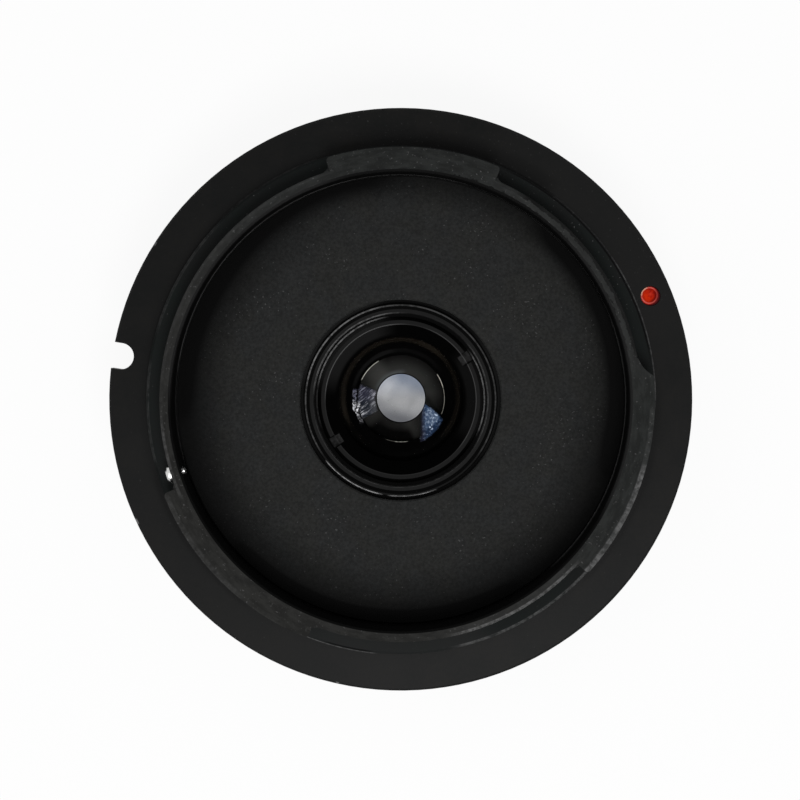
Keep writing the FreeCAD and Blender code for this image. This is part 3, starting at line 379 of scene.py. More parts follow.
rearPlate = {
    # tones; the last two are the painted shade by the wall and the painted highlight on the rim
    "dark": 29, "light": 42, "speck": 72, "wallShadeTone": 3, "rim": 36,
    "cool": (0.98, 1.01, 1.01), "olive": (1.0, 1.015, 0.98),
    "grain": (0.15, 3.0, 0.7), "grainDepth": 0.012,
    "roughness": 0.6, "grainRoughness": 0.1, "gloss": 0.03,
    # patterns
    "fine": (0.30, 2.0, 0.6, 0.25, 0.75), "coarse": (1.3, 3.0, 0.6, 0.3, 0.7), "coarseShare": 0.2,
    "hue": (4.0, 2.0, 0.55, 0.4, 0.6), "strewn": (6.0, 2.0, 0.55, 0.5, 0.62), "strewnShare": 0.07,
    "specks": (0.28, 1.0, 0.5), "speckEdge": (0.74, 0.79), "speckShare": 0.8,
    "clumps": (0.9, 5.0, 0.9, 0.66, 0.72), "clumpShare": 0.5,
    # radii of the shade by the wall, near the light and far from it, and the far side in degrees
    "farSide": 65, "farTurn": (0.1, 0.9),
    "nearShade": (17.0, 23.4), "nearShare": 0.88, "farShade": (20.0, 24.4), "farShare": 0.75,
    "footShade": (22.2, 23.2), "sideShade": (21.2, 23.2), "rimEdge": (23.82, 23.88),
    # arcs
    "footArcs": ((232, 292, 14, 0.6),), "sideArcs": ((-10, 44, 14, 0.5), (100, 175, 14, 0.35)),
    "rimHighlightArcs": ((55, 185, 20, 0.8), (-50, 54, 20, 0.5)),
}


def plateFinish():
    # fine blasting that sparkles a little, painted shade that darkens it toward the wall round it, and a
    # painted highlight on its rim
    f, v = finish("blastedPlate"), rearPlate
    r = f.radius
    grain = f.noise(*v["grain"])
    fine = f.patches(*v["fine"]) * (1 - v["coarseShare"]) + f.patches(*v["coarse"]) * v["coarseShare"]
    hue = f.patches(*v["hue"])
    dark, light = (
        f.tint(hue, grey(v[tone], v["cool"]), grey(v[tone], v["olive"])) for tone in ("dark", "light"))
    body = f.tint(fine, dark, light)
    strewn = f.patches(*v["strewn"]) * v["strewnShare"]
    specks = f.rise(f.noise(*v["specks"]) + strewn, *v["speckEdge"])
    specks = (specks + f.patches(*v["clumps"]) * v["clumpShare"]) * v["speckShare"]
    body = f.tint(specks.least(1.0), body, grey(v["speck"]))
    far = f.rise(f.towards(v["farSide"]), *v["farTurn"])
    shade = f.rise(r, *v["nearShade"]) * (1 - far) * v["nearShare"]
    shade = shade + f.rise(r, *v["farShade"]) * far * v["farShare"]
    shade = shade + f.rise(r, *v["footShade"]) * f.arcs(v["footArcs"])
    shade = shade + f.rise(r, *v["sideShade"]) * f.arcs(v["sideArcs"])
    body = f.tint(shade.least(1.0), body, grey(v["wallShadeTone"]))
    # a lighter line on the rim at some sides: a painted highlight
    rim = f.rise(r, *v["rimEdge"]) * f.arcs(v["rimHighlightArcs"])
    return f.done(f.surface(
        Base_Color=f.tint(rim, body, grey(v["rim"])),
        Roughness=v["roughness"] + v["grainRoughness"] * grain,
        Specular_IOR_Level=v["gloss"],
        Normal=f.bump(grain, v["grainDepth"]),
    ))


cell = {
    # tones; the edge tone is for the painted highlights
    "flat": 20, "slope": 4, "wall": 2, "edge": 150,
    "grain": (0.18, 4.0, 0.6), "grainDepth": 0.004, "grainShare": 0.2,
    "roughness": 0.45, "grainRoughness": 0.1, "gloss": 0.04,
    "rubAndGlint": (0.5, 3.0, 0.7, 0.35, 0.6), "glintLeast": 0.45, "glintShare": 0.8,
    "rearStart": (-4.0, -3.6), "flatBand": (9.42, 9.72, 0.05), "slopeEdge": (9.0, 9.1),
    "lipBand": (10.1, 10.22, 0.03), "lipStart": (-1.42, -1.36),
    "lipArcs": ((112, 160, 14, 0.34), (160, 205, 12, 0.14), (-25, 30, 15, 0.10), (44, 100, 12, 0.12)),
    "rimEdge": (10.22, 10.26), "rimStart": (-1.45, -1.4),
    "rimHighlightArcs": ((222, 256, 4, 0.85), (266, 288, 5, 0.66)),
    "stepBand": (9.3, 9.4, 0.04), "stepShare": 0.02,
    "stepArcs": ((105, 160, 20, 0.25), (-20, 30, 15, 0.12), (200, 300, 20, 0.04)),
    "threadBand": (8.93, 9.06, 0.05),
    "threadArcs": ((112, 158, 15, 0.42), (-15, 26, 12, 0.34), (165, 192, 10, 0.05)),
}


def cellFinish():
    # the lens cell's black coat; its thin edges carry painted highlights where light would catch them,
    # broken up in patches
    f, v = finish("cellBlack"), cell
    r, z = f.radius, f.height
    grain = f.noise(*v["grain"])
    body = f.tint(f.band(r, *v["flatBand"]), grey(v["slope"]), grey(v["flat"]))
    body = f.tint(f.rise(r, *v["slopeEdge"]), grey(v["wall"]), body)
    body = f.tint(grain * v["grainShare"], body, grey(v["flat"]))
    # painted highlights on the lip, the rim, the step and the thread's edge, strongest at some sides
    wearAndGlint = f.band(r, *v["lipBand"]) * f.rise(z, *v["lipStart"]) * f.arcs(v["lipArcs"])
    wearAndGlint = wearAndGlint + f.rise(r, *v["rimEdge"]) * f.rise(z, *v["rimStart"]) * f.arcs(v["rimHighlightArcs"])
    wearAndGlint = wearAndGlint + f.band(r, *v["stepBand"]) * (v["stepShare"] + f.arcs(v["stepArcs"]))
    wearAndGlint = wearAndGlint + f.band(r, *v["threadBand"]) * f.arcs(v["threadArcs"])
    wearAndGlint = wearAndGlint * f.rise(z, *v["rearStart"]) * f.glintAndWearPatches(v)
    return f.done(f.surface(
        Base_Color=f.tint(wearAndGlint, body, grey(v["edge"])),
        Roughness=v["roughness"] + v["grainRoughness"] * grain,
        Specular_IOR_Level=v["gloss"],
        Normal=f.bump(grain, v["grainDepth"]),
    ))


retainer = {
    # tones; the glow is a painted reflection and the edge a painted highlight
    "cone": 1, "glow": 30, "face": 29, "slotDark": 24, "slotLight": 42, "edge": 120,
    "grain": (0.15, 4.0, 0.6), "grainDepth": 0.004,
    "roughness": 0.5, "grainRoughness": 0.1, "gloss": 0.008,
    "slotPatches": (0.5, 3.0, 0.55, 0.35, 0.65),
    "faceStart": (8.08, 8.16), "faceEnd": (8.56, 8.62), "faceHeight": (-3.1, -3.05),
    "slotBand": (7.6, 8.8, 0.08), "slotHeight": (-3.62, -3.58, 0.02),
    "slotArcs": ((29.2, 36, 0.6, 1), (209.2, 216, 0.6, 1)),
    "glowStart": (6.85, 7.3), "glowArcs": ((115, 155, 25, 0.9), (-18, 25, 20, 0.42)),
    "edgeBand": (8.1, 8.17, 0.03), "edgeShare": 0.05,
    "edgeArcs": ((100, 165, 20, 0.3), (-30, 60, 15, 0.15)),
}


def ringFinish():
    # the rear retaining ring: a satin face, a cone that is lighter at two sides from a painted reflection,
    # and a painted highlight on its inner edge
    f, v = finish("ringBlack"), retainer
    r, z = f.radius, f.height
    grain = f.noise(*v["grain"])
    # the cone lighter at two sides: a painted reflection
    glow = f.arcs(v["glowArcs"]) * f.rise(r, *v["glowStart"])
    body = f.tint(glow.least(1.0), grey(v["cone"]), grey(v["glow"]))
    face = f.rise(r, *v["faceStart"]) * f.fall(r, *v["faceEnd"]) * f.rise(z, *v["faceHeight"])
    body = f.tint(face, body, grey(v["face"]))
    slot = f.band(r, *v["slotBand"]) * f.band(z, *v["slotHeight"]) * f.arcs(v["slotArcs"])
    slotTone = f.tint(f.patches(*v["slotPatches"]), grey(v["slotDark"]), grey(v["slotLight"]))
    body = f.tint(slot, body, slotTone)
    # a painted highlight on the inner edge, strongest at two sides
    edge = f.band(r, *v["edgeBand"]) * (v["edgeShare"] + f.arcs(v["edgeArcs"]))
    return f.done(f.surface(
        Base_Color=f.tint(edge, body, grey(v["edge"])),
        Roughness=v["roughness"] + v["grainRoughness"] * grain,
        Specular_IOR_Level=v["gloss"],
        Normal=f.bump(grain, v["grainDepth"]),
    ))


spacer = {
    "dark": 1, "light": 3, "lit": 20, "edge": (0.92, 0.90, 0.80),
    "grain": (0.9, 3.0, 0.7), "grainDepth": 0.004, "roughness": 0.6, "gloss": 0.004,
    "litBand": (5.2, 5.4, 0.2), "litArcs": ((112, 160, 20, 1.0), (50, 112, 20, 0.4)),
    "edgeEnd": (4.77, 4.82), "rubAndGlint": (0.45, 3.0, 0.8, 0.35, 0.5), "glintLeast": 0.5, "glintShare": 0.5,
    "edgeArcs": (
        (122, 136, 2, 0.75), (137, 153, 3, 1.0), (-20, 12, 2, 0.36), (15, 33, 1, 0.85),
        (252, 264, 4, 0.12), (264, 277, 3, 0.45)),
}


def spacerFinish():
    # the black cone behind the rear glass, with bright arcs where its sharp edge catches light
    f, v = finish("spacerBlack"), spacer
    r = f.radius
    grain = f.noise(*v["grain"])
    body = f.tint(grain, grey(v["dark"]), grey(v["light"]))
    body = f.tint(f.band(r, *v["litBand"]) * f.arcs(v["litArcs"]), body, grey(v["lit"]))
    edge = f.fall(r, *v["edgeEnd"]) * f.arcs(v["edgeArcs"]) * f.glintAndWearPatches(v)
    return f.done(f.surface(
        Base_Color=f.tint(edge, body, v["edge"]),
        Roughness=v["roughness"],
        Specular_IOR_Level=v["gloss"],
        Normal=f.bump(grain, v["grainDepth"]),
    ))


barrel = {
    "dark": 2, "lit": 30,
    "grain": (0.3, 3.0, 0.6), "grainDepth": 0.005, "roughness": 0.7, "gloss": 0.01,
    "litShare": 0.30, "grainLeast": 0.8, "grainShare": 0.4,
    "litArcs": (
        (112, 158, 16, 0.75), (-25, 30, 14, 0.40), (165, 200, 14, 0.20), (300, 330, 12, 0.2)),
}


def barrelFinish():
    # the guide barrel's end, deep in the gap round the cell, where light gets in from some sides
    f, v = finish("barrelBlack"), barrel
    grain = f.noise(*v["grain"])
    lit = (v["litShare"] + f.arcs(v["litArcs"])) * (v["grainLeast"] + v["grainShare"] * grain)
    return f.done(f.surface(
        Base_Color=f.tint(lit.least(1.0), grey(v["dark"]), grey(v["lit"])),
        Roughness=v["roughness"],
        Specular_IOR_Level=v["gloss"],
        Normal=f.bump(grain, v["grainDepth"]),
    ))


stop = {
    # tones; lit is painted light, far painted shade and glow a painted glow
    "dark": 4, "lit": 70, "far": 5, "glow": 96, "lip": 2,
    "warm": (1.0, 1.0, 0.94), "cold": (0.92, 1.0, 1.05),
    "cloud": (1.2, 3.0, 0.55), "cloudDepth": 0.004, "roughness": 0.6, "gloss": 0.004,
    "litSide": 85, "litTurn": (-0.5, 0.9), "litShare": 0.42, "litLeast": 0.10, "ragged": 0.2,
    "litArcs": (
        (128, 208, 22, 0.34), (-30, 8, 18, 0.18), (288, 312, 22, 0.30), (225, 288, 16, 0.12)),
    "farEdge": (2.9, 4.9), "farShare": 0.85, "farMost": 0.95,
    "farGaps": ((128, 215, 20, 0.6), (292, 318, 14, 0.5)),
    "shadeEdge": (2.8, 3.9), "shadeArcs": ((232, 280, 14, 0.6),),
    "glowEdge": (2.8, 3.3), "glowArcs": ((92, 150, 16, 0.5),), "lipEdge": (2.72, 2.82),
}


def stopFinish():
    # the funnel of the fixed stop, which light reaches from one side: painted light on that side and in
    # sectors, painted shade toward its outer edge, and a painted glow on part of the aperture's edge
    f, v = finish("stopBlack"), stop
    r = f.radius
    cloud = f.noise(*v["cloud"])
    lit = f.rise(f.towards(v["litSide"]) + v["ragged"] * cloud, *v["litTurn"])
    lit = v["litLeast"] + v["litShare"] * lit + f.arcs(v["litArcs"])
    body = f.tint(lit.least(1.0), grey(v["dark"], v["warm"]), grey(v["lit"], v["warm"]))
    far = f.rise(r, *v["farEdge"]) * (v["farShare"] - f.arcs(v["farGaps"]))
    far = far + f.rise(r, *v["shadeEdge"]) * f.arcs(v["shadeArcs"])
    body = f.tint(far.least(v["farMost"]), body, grey(v["far"]))
    glow = f.fall(r, *v["glowEdge"]) * f.arcs(v["glowArcs"])
    body = f.tint(glow, body, grey(v["glow"], v["cold"]))
    return f.done(f.surface(
        Base_Color=f.tint(f.fall(r, *v["lipEdge"]), body, grey(v["lip"])),
        Roughness=v["roughness"],
        Specular_IOR_Level=v["gloss"],
        Normal=f.bump(cloud, v["cloudDepth"]),
    ))


plain = {
    # dark and light tone, grain size and depth in mm, roughness, gloss
    "scale_face": (25, 33, 0.14, 0.01, 0.5, 0.25),
    "optical_black": (8, 16, 0.2, 0.004, 0.7, 0.05),
    "lever_black": (27, 37, 0.2, 0.006, 0.36, 0.34),
    "grip_pad": (34, 50, 0.15, 0.01, 0.42, 0.34),
    "washer_polymer": (214, 222, 0.4, 0.004, 0.6, 0.4),
    "roller_polymer": (226, 232, 0.4, 0.002, 0.45, 0.4),
}
plainPattern = {
    "grain": (4.0, 0.6), "grainEdge": (0.35, 0.75), "cloud": (7.0, 2.0), "cloudShare": 0.25,
    "grainRoughness": 0.16,
}


def plainFinish(slot):
    # a matte or satin coat with a fine grain
    dark, light, size, depth, rough, gloss = plain[slot]
    f, v = finish(slot), plainPattern
    grain = f.noise(size, *v["grain"])
    shade = f.rise(grain, *v["grainEdge"]) * (1 - v["cloudShare"])
    shade = shade + v["cloudShare"] * f.noise(*v["cloud"])
    return f.done(f.surface(
        Base_Color=f.tint(shade, grey(dark), grey(light)),
        Roughness=rough + v["grainRoughness"] * (grain - 0.5),
        Specular_IOR_Level=gloss,
        Normal=f.bump(grain, depth),
    ))


housing = {
    # tones; low is the painted shade in the flutes
    "low": 20, "crest": 34, "wear": 92,
    "grain": (0.2, 4.0, 0.6), "grainDepth": 0.006, "grainShare": 0.6,
    "roughness": 0.32, "grainRoughness": 0.12, "gloss": 0.34,
    "cloud": (6.0, 2.0, 0.55, 0.35, 0.65), "cloudShare": 0.45, "rubAndGlint": (1.5, 5.0, 0.7, 0.42, 0.72),
    # radii of the flutes' floors and crests, then of the worn places, and how far down those are
    "fluteEdge": (28.0, 28.36),
    "crestEdge": (28.35, 28.39), "crestBand": (3.0, 13.6, 0.3), "crestShare": 0.25,
    "bendEdge": (28.2, 28.3), "bendBand": (14.95, 15.05, 0.06), "bendShare": 0.6,
    "rimEdge": (27.45, 27.55), "rimStart": (15.71, 15.77), "rimShare": 0.5,
}


def housingFinish():
    # the grip's anodised coat: darker in the flutes, a painted shade, and rubbed along the crests and the
    # front bevel
    f, v = finish("housingAnodised"), housing
    r, down = f.radius, f.height * -1
    grain = f.noise(*v["grain"])
    shade = 1 - v["cloudShare"] + v["cloudShare"] * f.patches(*v["cloud"])
    shade = f.rise(r, *v["fluteEdge"]) * shade * (1 + v["grainShare"] * (grain - 1))
    body = f.tint(shade, grey(v["low"]), grey(v["crest"]))
    wearAndGlint = v["crestShare"] * f.rise(r, *v["crestEdge"]) * f.band(down, *v["crestBand"])
    wearAndGlint = wearAndGlint + v["bendShare"] * f.rise(r, *v["bendEdge"]) * f.band(down, *v["bendBand"])
    wearAndGlint = wearAndGlint + v["rimShare"] * f.rise(r, *v["rimEdge"]) * f.rise(down, *v["rimStart"])
    wearAndGlint = wearAndGlint * f.patches(*v["rubAndGlint"])
    return f.done(f.surface(
        Base_Color=f.tint(wearAndGlint.least(1.0), body, grey(v["wear"])),
        Roughness=v["roughness"] + v["grainRoughness"] * grain,
        Specular_IOR_Level=v["gloss"],
        Normal=f.bump(grain, v["grainDepth"]),
    ))


metals = {
    # base colour, roughness
    "cam_brass": ((0.62, 0.47, 0.23), 0.32),
    "steel": ((0.66, 0.66, 0.65), 0.22),
    "black_steel": ((0.055, 0.055, 0.058), 0.35),
    "shim_steel": ((0.5, 0.5, 0.51), 0.3),
}
metalPattern = {
    "marks": (0.5, 3.0, 0.6), "marksDrawn": (4.0, 0.25), "marksDepth": 0.003,
    "marksRoughness": (-0.06, 0.14), "darkShare": 0.8,
}


def metalFinish(slot):
    # turned metal, with fine tool marks round the axis
    colour, rough = metals[slot]
    f, v = finish(slot), metalPattern
    marks = f.noise(*v["marks"], place=f.ringed(*v["marksDrawn"]))
    smoother, rougher = v["marksRoughness"]
    return f.done(f.surface(
        Base_Color=f.tint(marks, tuple(v["darkShare"] * part for part in colour), colour),
        Metallic=1.0,
        Roughness=rough + smoother + rougher * marks,
        Normal=f.bump(marks, v["marksDepth"]),
    ))


dot = {
    "core": (0.60, 0.028, 0.004), "deep": (0.26, 0.005, 0.003), "rim": (0.66, 0.12, 0.10),
    "glint": (1.0, 0.55, 0.40), "outline": (0.050, 0.006, 0.008), "pit": (0.10, 0.002, 0.002),
    "across": 26.41, "along": 11.18,  # the middle of the mark in mm; the radii start from there
    "rimBand": (0.80, 0.86, 0.07), "pitEdge": (0.35, 0.72), "outlineEdge": (0.93, 1.01),
    # the sides on which the red is painted lighter, the pit has painted shade, and the rim has a paler
    # painted highlight and a glint
    "lighterSide": (-0.7, 0.7), "pitSide": (0.1, 0.7), "pitLeast": 0.25, "pitShare": 0.6,
    "rimSide": (-0.5, 0.6), "rimLeast": 0.3, "rimShare": 0.6, "glintSide": (0.85, 1.2),
    "lowSide": (0.2, 0.9), "lowShare": 0.35,
    "cloud": (0.35, 3.0, 0.7, 0.35, 0.65), "dents": (0.3, 3.0, 0.55), "dentDepth": 0.006,
    "roughness": 0.35, "gloss": 0.02,
}


def enamelFinish():
    # red enamel in a shallow dish, with painted light and shade: lighter toward one side, darker in the
    # pit on the other, and paler with a glint on its rim
    f, v = finish("redEnamel"), dot
    x, y = f.parts[:2]
    across, along = x - v["across"], y - v["along"]
    out = (across * across + along * along) ** 0.5
    # the red lighter toward one side, painted light, over patches of tone
    warm = (f.patches(*v["cloud"]) + f.rise(across * -1 - along, *v["lighterSide"])) / 2
    body = f.tint(warm, v["deep"], v["core"])
    # the pit darker toward one side: painted shade
    pitSide = f.rise(across - 0.3 * along, *v["pitSide"])
    pit = f.rise(out, *v["pitEdge"]) * (v["pitLeast"] + v["pitShare"] * pitSide)
    body = f.tint(pit, body, v["pit"])
    # the rim paler toward the light and below, with a glint on one side: painted highlights
    rim = f.band(out, *v["rimBand"])
    slant = (along * 0.75 - across) / out.most(0.01)
    lowSide = f.rise(along * -1 / out.most(0.01), *v["lowSide"])
    paler = v["rimLeast"] + v["rimShare"] * f.rise(slant, *v["rimSide"]) + v["lowShare"] * lowSide
    body = f.tint(rim * paler.least(1.0), body, v["rim"])
    body = f.tint(rim * f.rise(slant, *v["glintSide"]), body, v["glint"])
    return f.done(f.surface(
        Base_Color=f.tint(f.rise(out, *v["outlineEdge"]), body, v["outline"]),
        Roughness=v["roughness"],
        Specular_IOR_Level=v["gloss"],
        Normal=f.bump(f.noise(*v["dents"]), v["dentDepth"]),
    ))


glass = {
    "dark": (0.006, 0.007, 0.009), "light": (0.010, 0.009, 0.012), "coat": (0.75, 0.85, 1.0, 1),
    "film": (4.0, 1.0), "veil": 0.004, "roughness": 0.04, "gloss": 0.02,
    "bending": 1.45, "glossShare": 0.5, "glossLeast": 0.033,
    "cemented": (-10.4, -9.7, 0.1),  # heights in mm between which two elements are cemented
}


def glassFinish():
    # coated glass: see-through, with a little gloss that grows toward its rim, but not where two
    # elements are cemented
    f, v = finish("coatedGlass"), glass
    gloss = f.node("ShaderNodeFresnel", inputs={"IOR": v["bending"]})
    seen = v["veil"] + v["glossShare"] * (gloss - v["glossLeast"])
    return f.done(f.surface(
        Base_Color=f.tint(f.noise(*v["film"]), v["dark"], v["light"]),
        Roughness=v["roughness"],
        Specular_IOR_Level=v["gloss"],
        Specular_Tint=v["coat"],
        Alpha=seen * (1 - f.band(f.height, *v["cemented"])),
    ))


def clearFinish():
    # the second glass, which sends light straight on; as it isn't one more see-through layer, a ray
    # gets past all ten faces of the five glasses
    f = finish("clearGlass")
    return f.done(f.surface(Base_Color=(1, 1, 1), Roughness=0.0, IOR=1.0, Transmission_Weight=1.0))


hazeGlass = {
    # the share of haze where its cloud is thin and where it is thick, and the most anywhere
    "clear": 0.636, "thick": 0.662, "most": 0.95, "cloud": (2.6, 1.0, 0.5, 0.35, 0.65),
    "pole": -12.717, "bend": 11.7,  # mm: the height of its front face's middle, and its radius
    "faceEdge": (0.2, 0.4),  # mm behind the front face
    # how much the haze, with its painted light and shade, changes, and over which stretch in mm
    "round": 0.030, "roundEdge": (0.5, 1.5),
    "low": 0.10, "lowEdge": (1.0, 2.4),
    "axis": 150,  # degrees; the light comes through brightest along this line
    "shaded": 0.112, "shadedEdge": (0.7, 2.3),
    "bright": 0.08, "brightEdge": (0.7, 1.7), "brightWidth": (0.5, 1.7),
    "farEdge": (1.3, 2.0), "farShare": 0.5,
    "spot": (-1.6, 1.1), "spotEdge": (0.2, 0.8), "spotShare": 0.036,  # clearer
    "veiled": (-0.1, 1.9), "veiledEdge": (0.3, 1.2), "veiledShare": 0.085,  # denser
    # what the haze lets through where it is full, lower down and farther up
    "dim": (0.03, 0.035, 0.05, 1), "blueDim": (0.03, 0.07, 0.15, 1), "blueEdge": (-0.6, 1.9),
    "film": 0.008, "gloss": 0.5,  # the share that takes light itself, and its gloss
}


def hazyFinish():
    # the front glass, which the light from behind meets first: its front face dims it by a haze that
    # thins along one line and thickens away from it, partly painted light and shade, and both its faces
    # are a little glossy
    f, v = finish("hazyGlass"), hazeGlass
    x, y, z = f.parts
    r = f.radius
    cloud = f.patches(*v["cloud"])
    along, across = f.along(v["axis"]), abs(f.along(v["axis"] + 90))
    hazeAndShade = v["clear"] + (v["thick"] - v["clear"]) * cloud + v["round"] * f.rise(r, *v["roundEdge"])
    hazeAndShade = hazeAndShade + v["shaded"] * f.rise(across, *v["shadedEdge"]) + v["low"] * f.rise(y * -1, *v["lowEdge"])
    bright = f.rise(along, *v["brightEdge"]) + v["farShare"] * f.rise(along * -1, *v["farEdge"])
    hazeAndShade = hazeAndShade - v["bright"] * bright * f.fall(across, *v["brightWidth"])
    spot, veiled = (
        ((x - u) * (x - u) + (y - w) * (y - w)) ** 0.5 for u, w in (v["spot"], v["veiled"]))
    hazeAndShade = hazeAndShade - v["spotShare"] * f.fall(spot, *v["spotEdge"])
    hazeAndShade = hazeAndShade + v["veiledShare"] * f.fall(veiled, *v["veiledEdge"]) * cloud
    front = f.fall(z - v["pole"] - r * r / (2 * v["bend"]), *v["faceEdge"])
    clear, dim, blueDim = (
        f.node("ShaderNodeBsdfTransparent", inputs={"Color": colour})
        for colour in ((1, 1, 1, 1), v["dim"], v["blueDim"]))
    dim = f.node("ShaderNodeMixShader", inputs={0: f.rise(y, *v["blueEdge"]), 1: dim, 2: blueDim})
    through = f.node("ShaderNodeMixShader", inputs={0: hazeAndShade.least(v["most"]) * front, 1: clear, 2: dim})
    film = f.surface(
        Base_Color=f.tint(cloud, glass["dark"], glass["light"]),
        Roughness=glass["roughness"],
        Specular_IOR_Level=v["gloss"],
        Specular_Tint=glass["coat"],
    )
    gloss = f.node("ShaderNodeFresnel", inputs={"IOR": glass["bending"]})
    share = v["film"] + glass["glossShare"] * (gloss - glass["glossLeast"])
    return f.done(f.node("ShaderNodeMixShader", inputs={0: share, 1: through, 2: film}))


rearGlass = {
    # turns are in degrees, counted from the wedge's or the patch's own turn
    "edge": 2.66,  # where the marks start, in mm from the axis
    # colours of the painted reflections
    "blue": (0.028, 0.057, 0.118), "blueDeep": (0.005, 0.018, 0.050), "blueSpark": (0.50, 0.60, 0.76),
    "violet": (0.012, 0.012, 0.032), "wedgeTurn": -25, "wedgeWidth": (11.0, 15.0),
    "wedgeSlant": (15.5, 2.6),  # degrees by which the wedge widens, over how many mm
    "wedgeStart": (2.60, 2.72), "wedgeEnd": (5.0, 5.25), "wedgeLeft": (1.95, 2.45),
    "deepEdge": (4.32, 4.66), "violetEdge": (2.1, 2.9), "crestBand": (4.22, 4.52, 0.2),
    "glowBand": (3.3, 4.3, 0.4), "glowTurn": (-12.0, 2.0),
    "pale": (0.024, 0.032, 0.052), "paleSpark": (0.92, 0.92, 0.96), "lavender": (0.058, 0.060, 0.105),
    "patchTurn": 190, "patchTurns": (-27.0, 14.0, 6.0), "patchStart": (2.62, 2.95),
    "patchEnd": (4.55, 4.8), "lavenderTurn": (-16.0, -2.0),
    "rimBand": (4.92, 5.26, 0.10), "rimTurns": (-20.0, 3.0, 4.0),
    "spineBand": (4.90, 5.08, 0.10), "spineTurns": (-3.0, 21.0, 3.0), "spineFade": (7.0, 13.0),
    "hookTurn": (-3.0, 5.0), "hook": 0.42,
    "whiterTurn": (-12.0, 8.0), "whiterEdge": (3.0, 4.2), "rimWhiter": (-10, -2),
    "innerGlint": (2.9, 3.7),
    "scratches": (1.0, 2.0, 0.55, 0.35), "scratchesDrawn": (37, 1.1, 0.17), "scratchEdge": (0.47, 0.68),
    "ragged": (0.4, 3.0, 0.7), "raggedDepth": 0.6, "fine": (0.26, 2.0, 0.7, 0.46, 0.66),
    "sparks": (0.26, 1.0, 0.5, 0.62, 0.72), "gaps": (0.20, 2.0, 0.7, 0.44, 0.58),
    "amber": (0.0092, 0.0076, 0.0056), "haloMiddle": (-0.02, 0.24),  # mm from the axis
    "haloBand": (6.15, 6.33, 0.38), "haloShare": 0.08,
    "haloArcs": ((60, 190, 24, 0.74), (190, 222, 14, 0.2), (-30, 60, 20, 0.50)),
    "skirtBand": (6.4, 6.9, 0.5), "skirtShare": 0.36,
    "skirtArcs": ((105, 190, 24, 1.0), (-10, 105, 20, 0.4)),
    "clearTone": (0.001, 0.001, 0.001), "roughness": 0.2, "gloss": 0.01,
    "glossShare": 0.4, "glossLeast": 0.009,
    "haloSeen": 0.85, "wedgeSeen": 0.9, "patchSeen": 0.92,  # how much each hides what is behind it
}


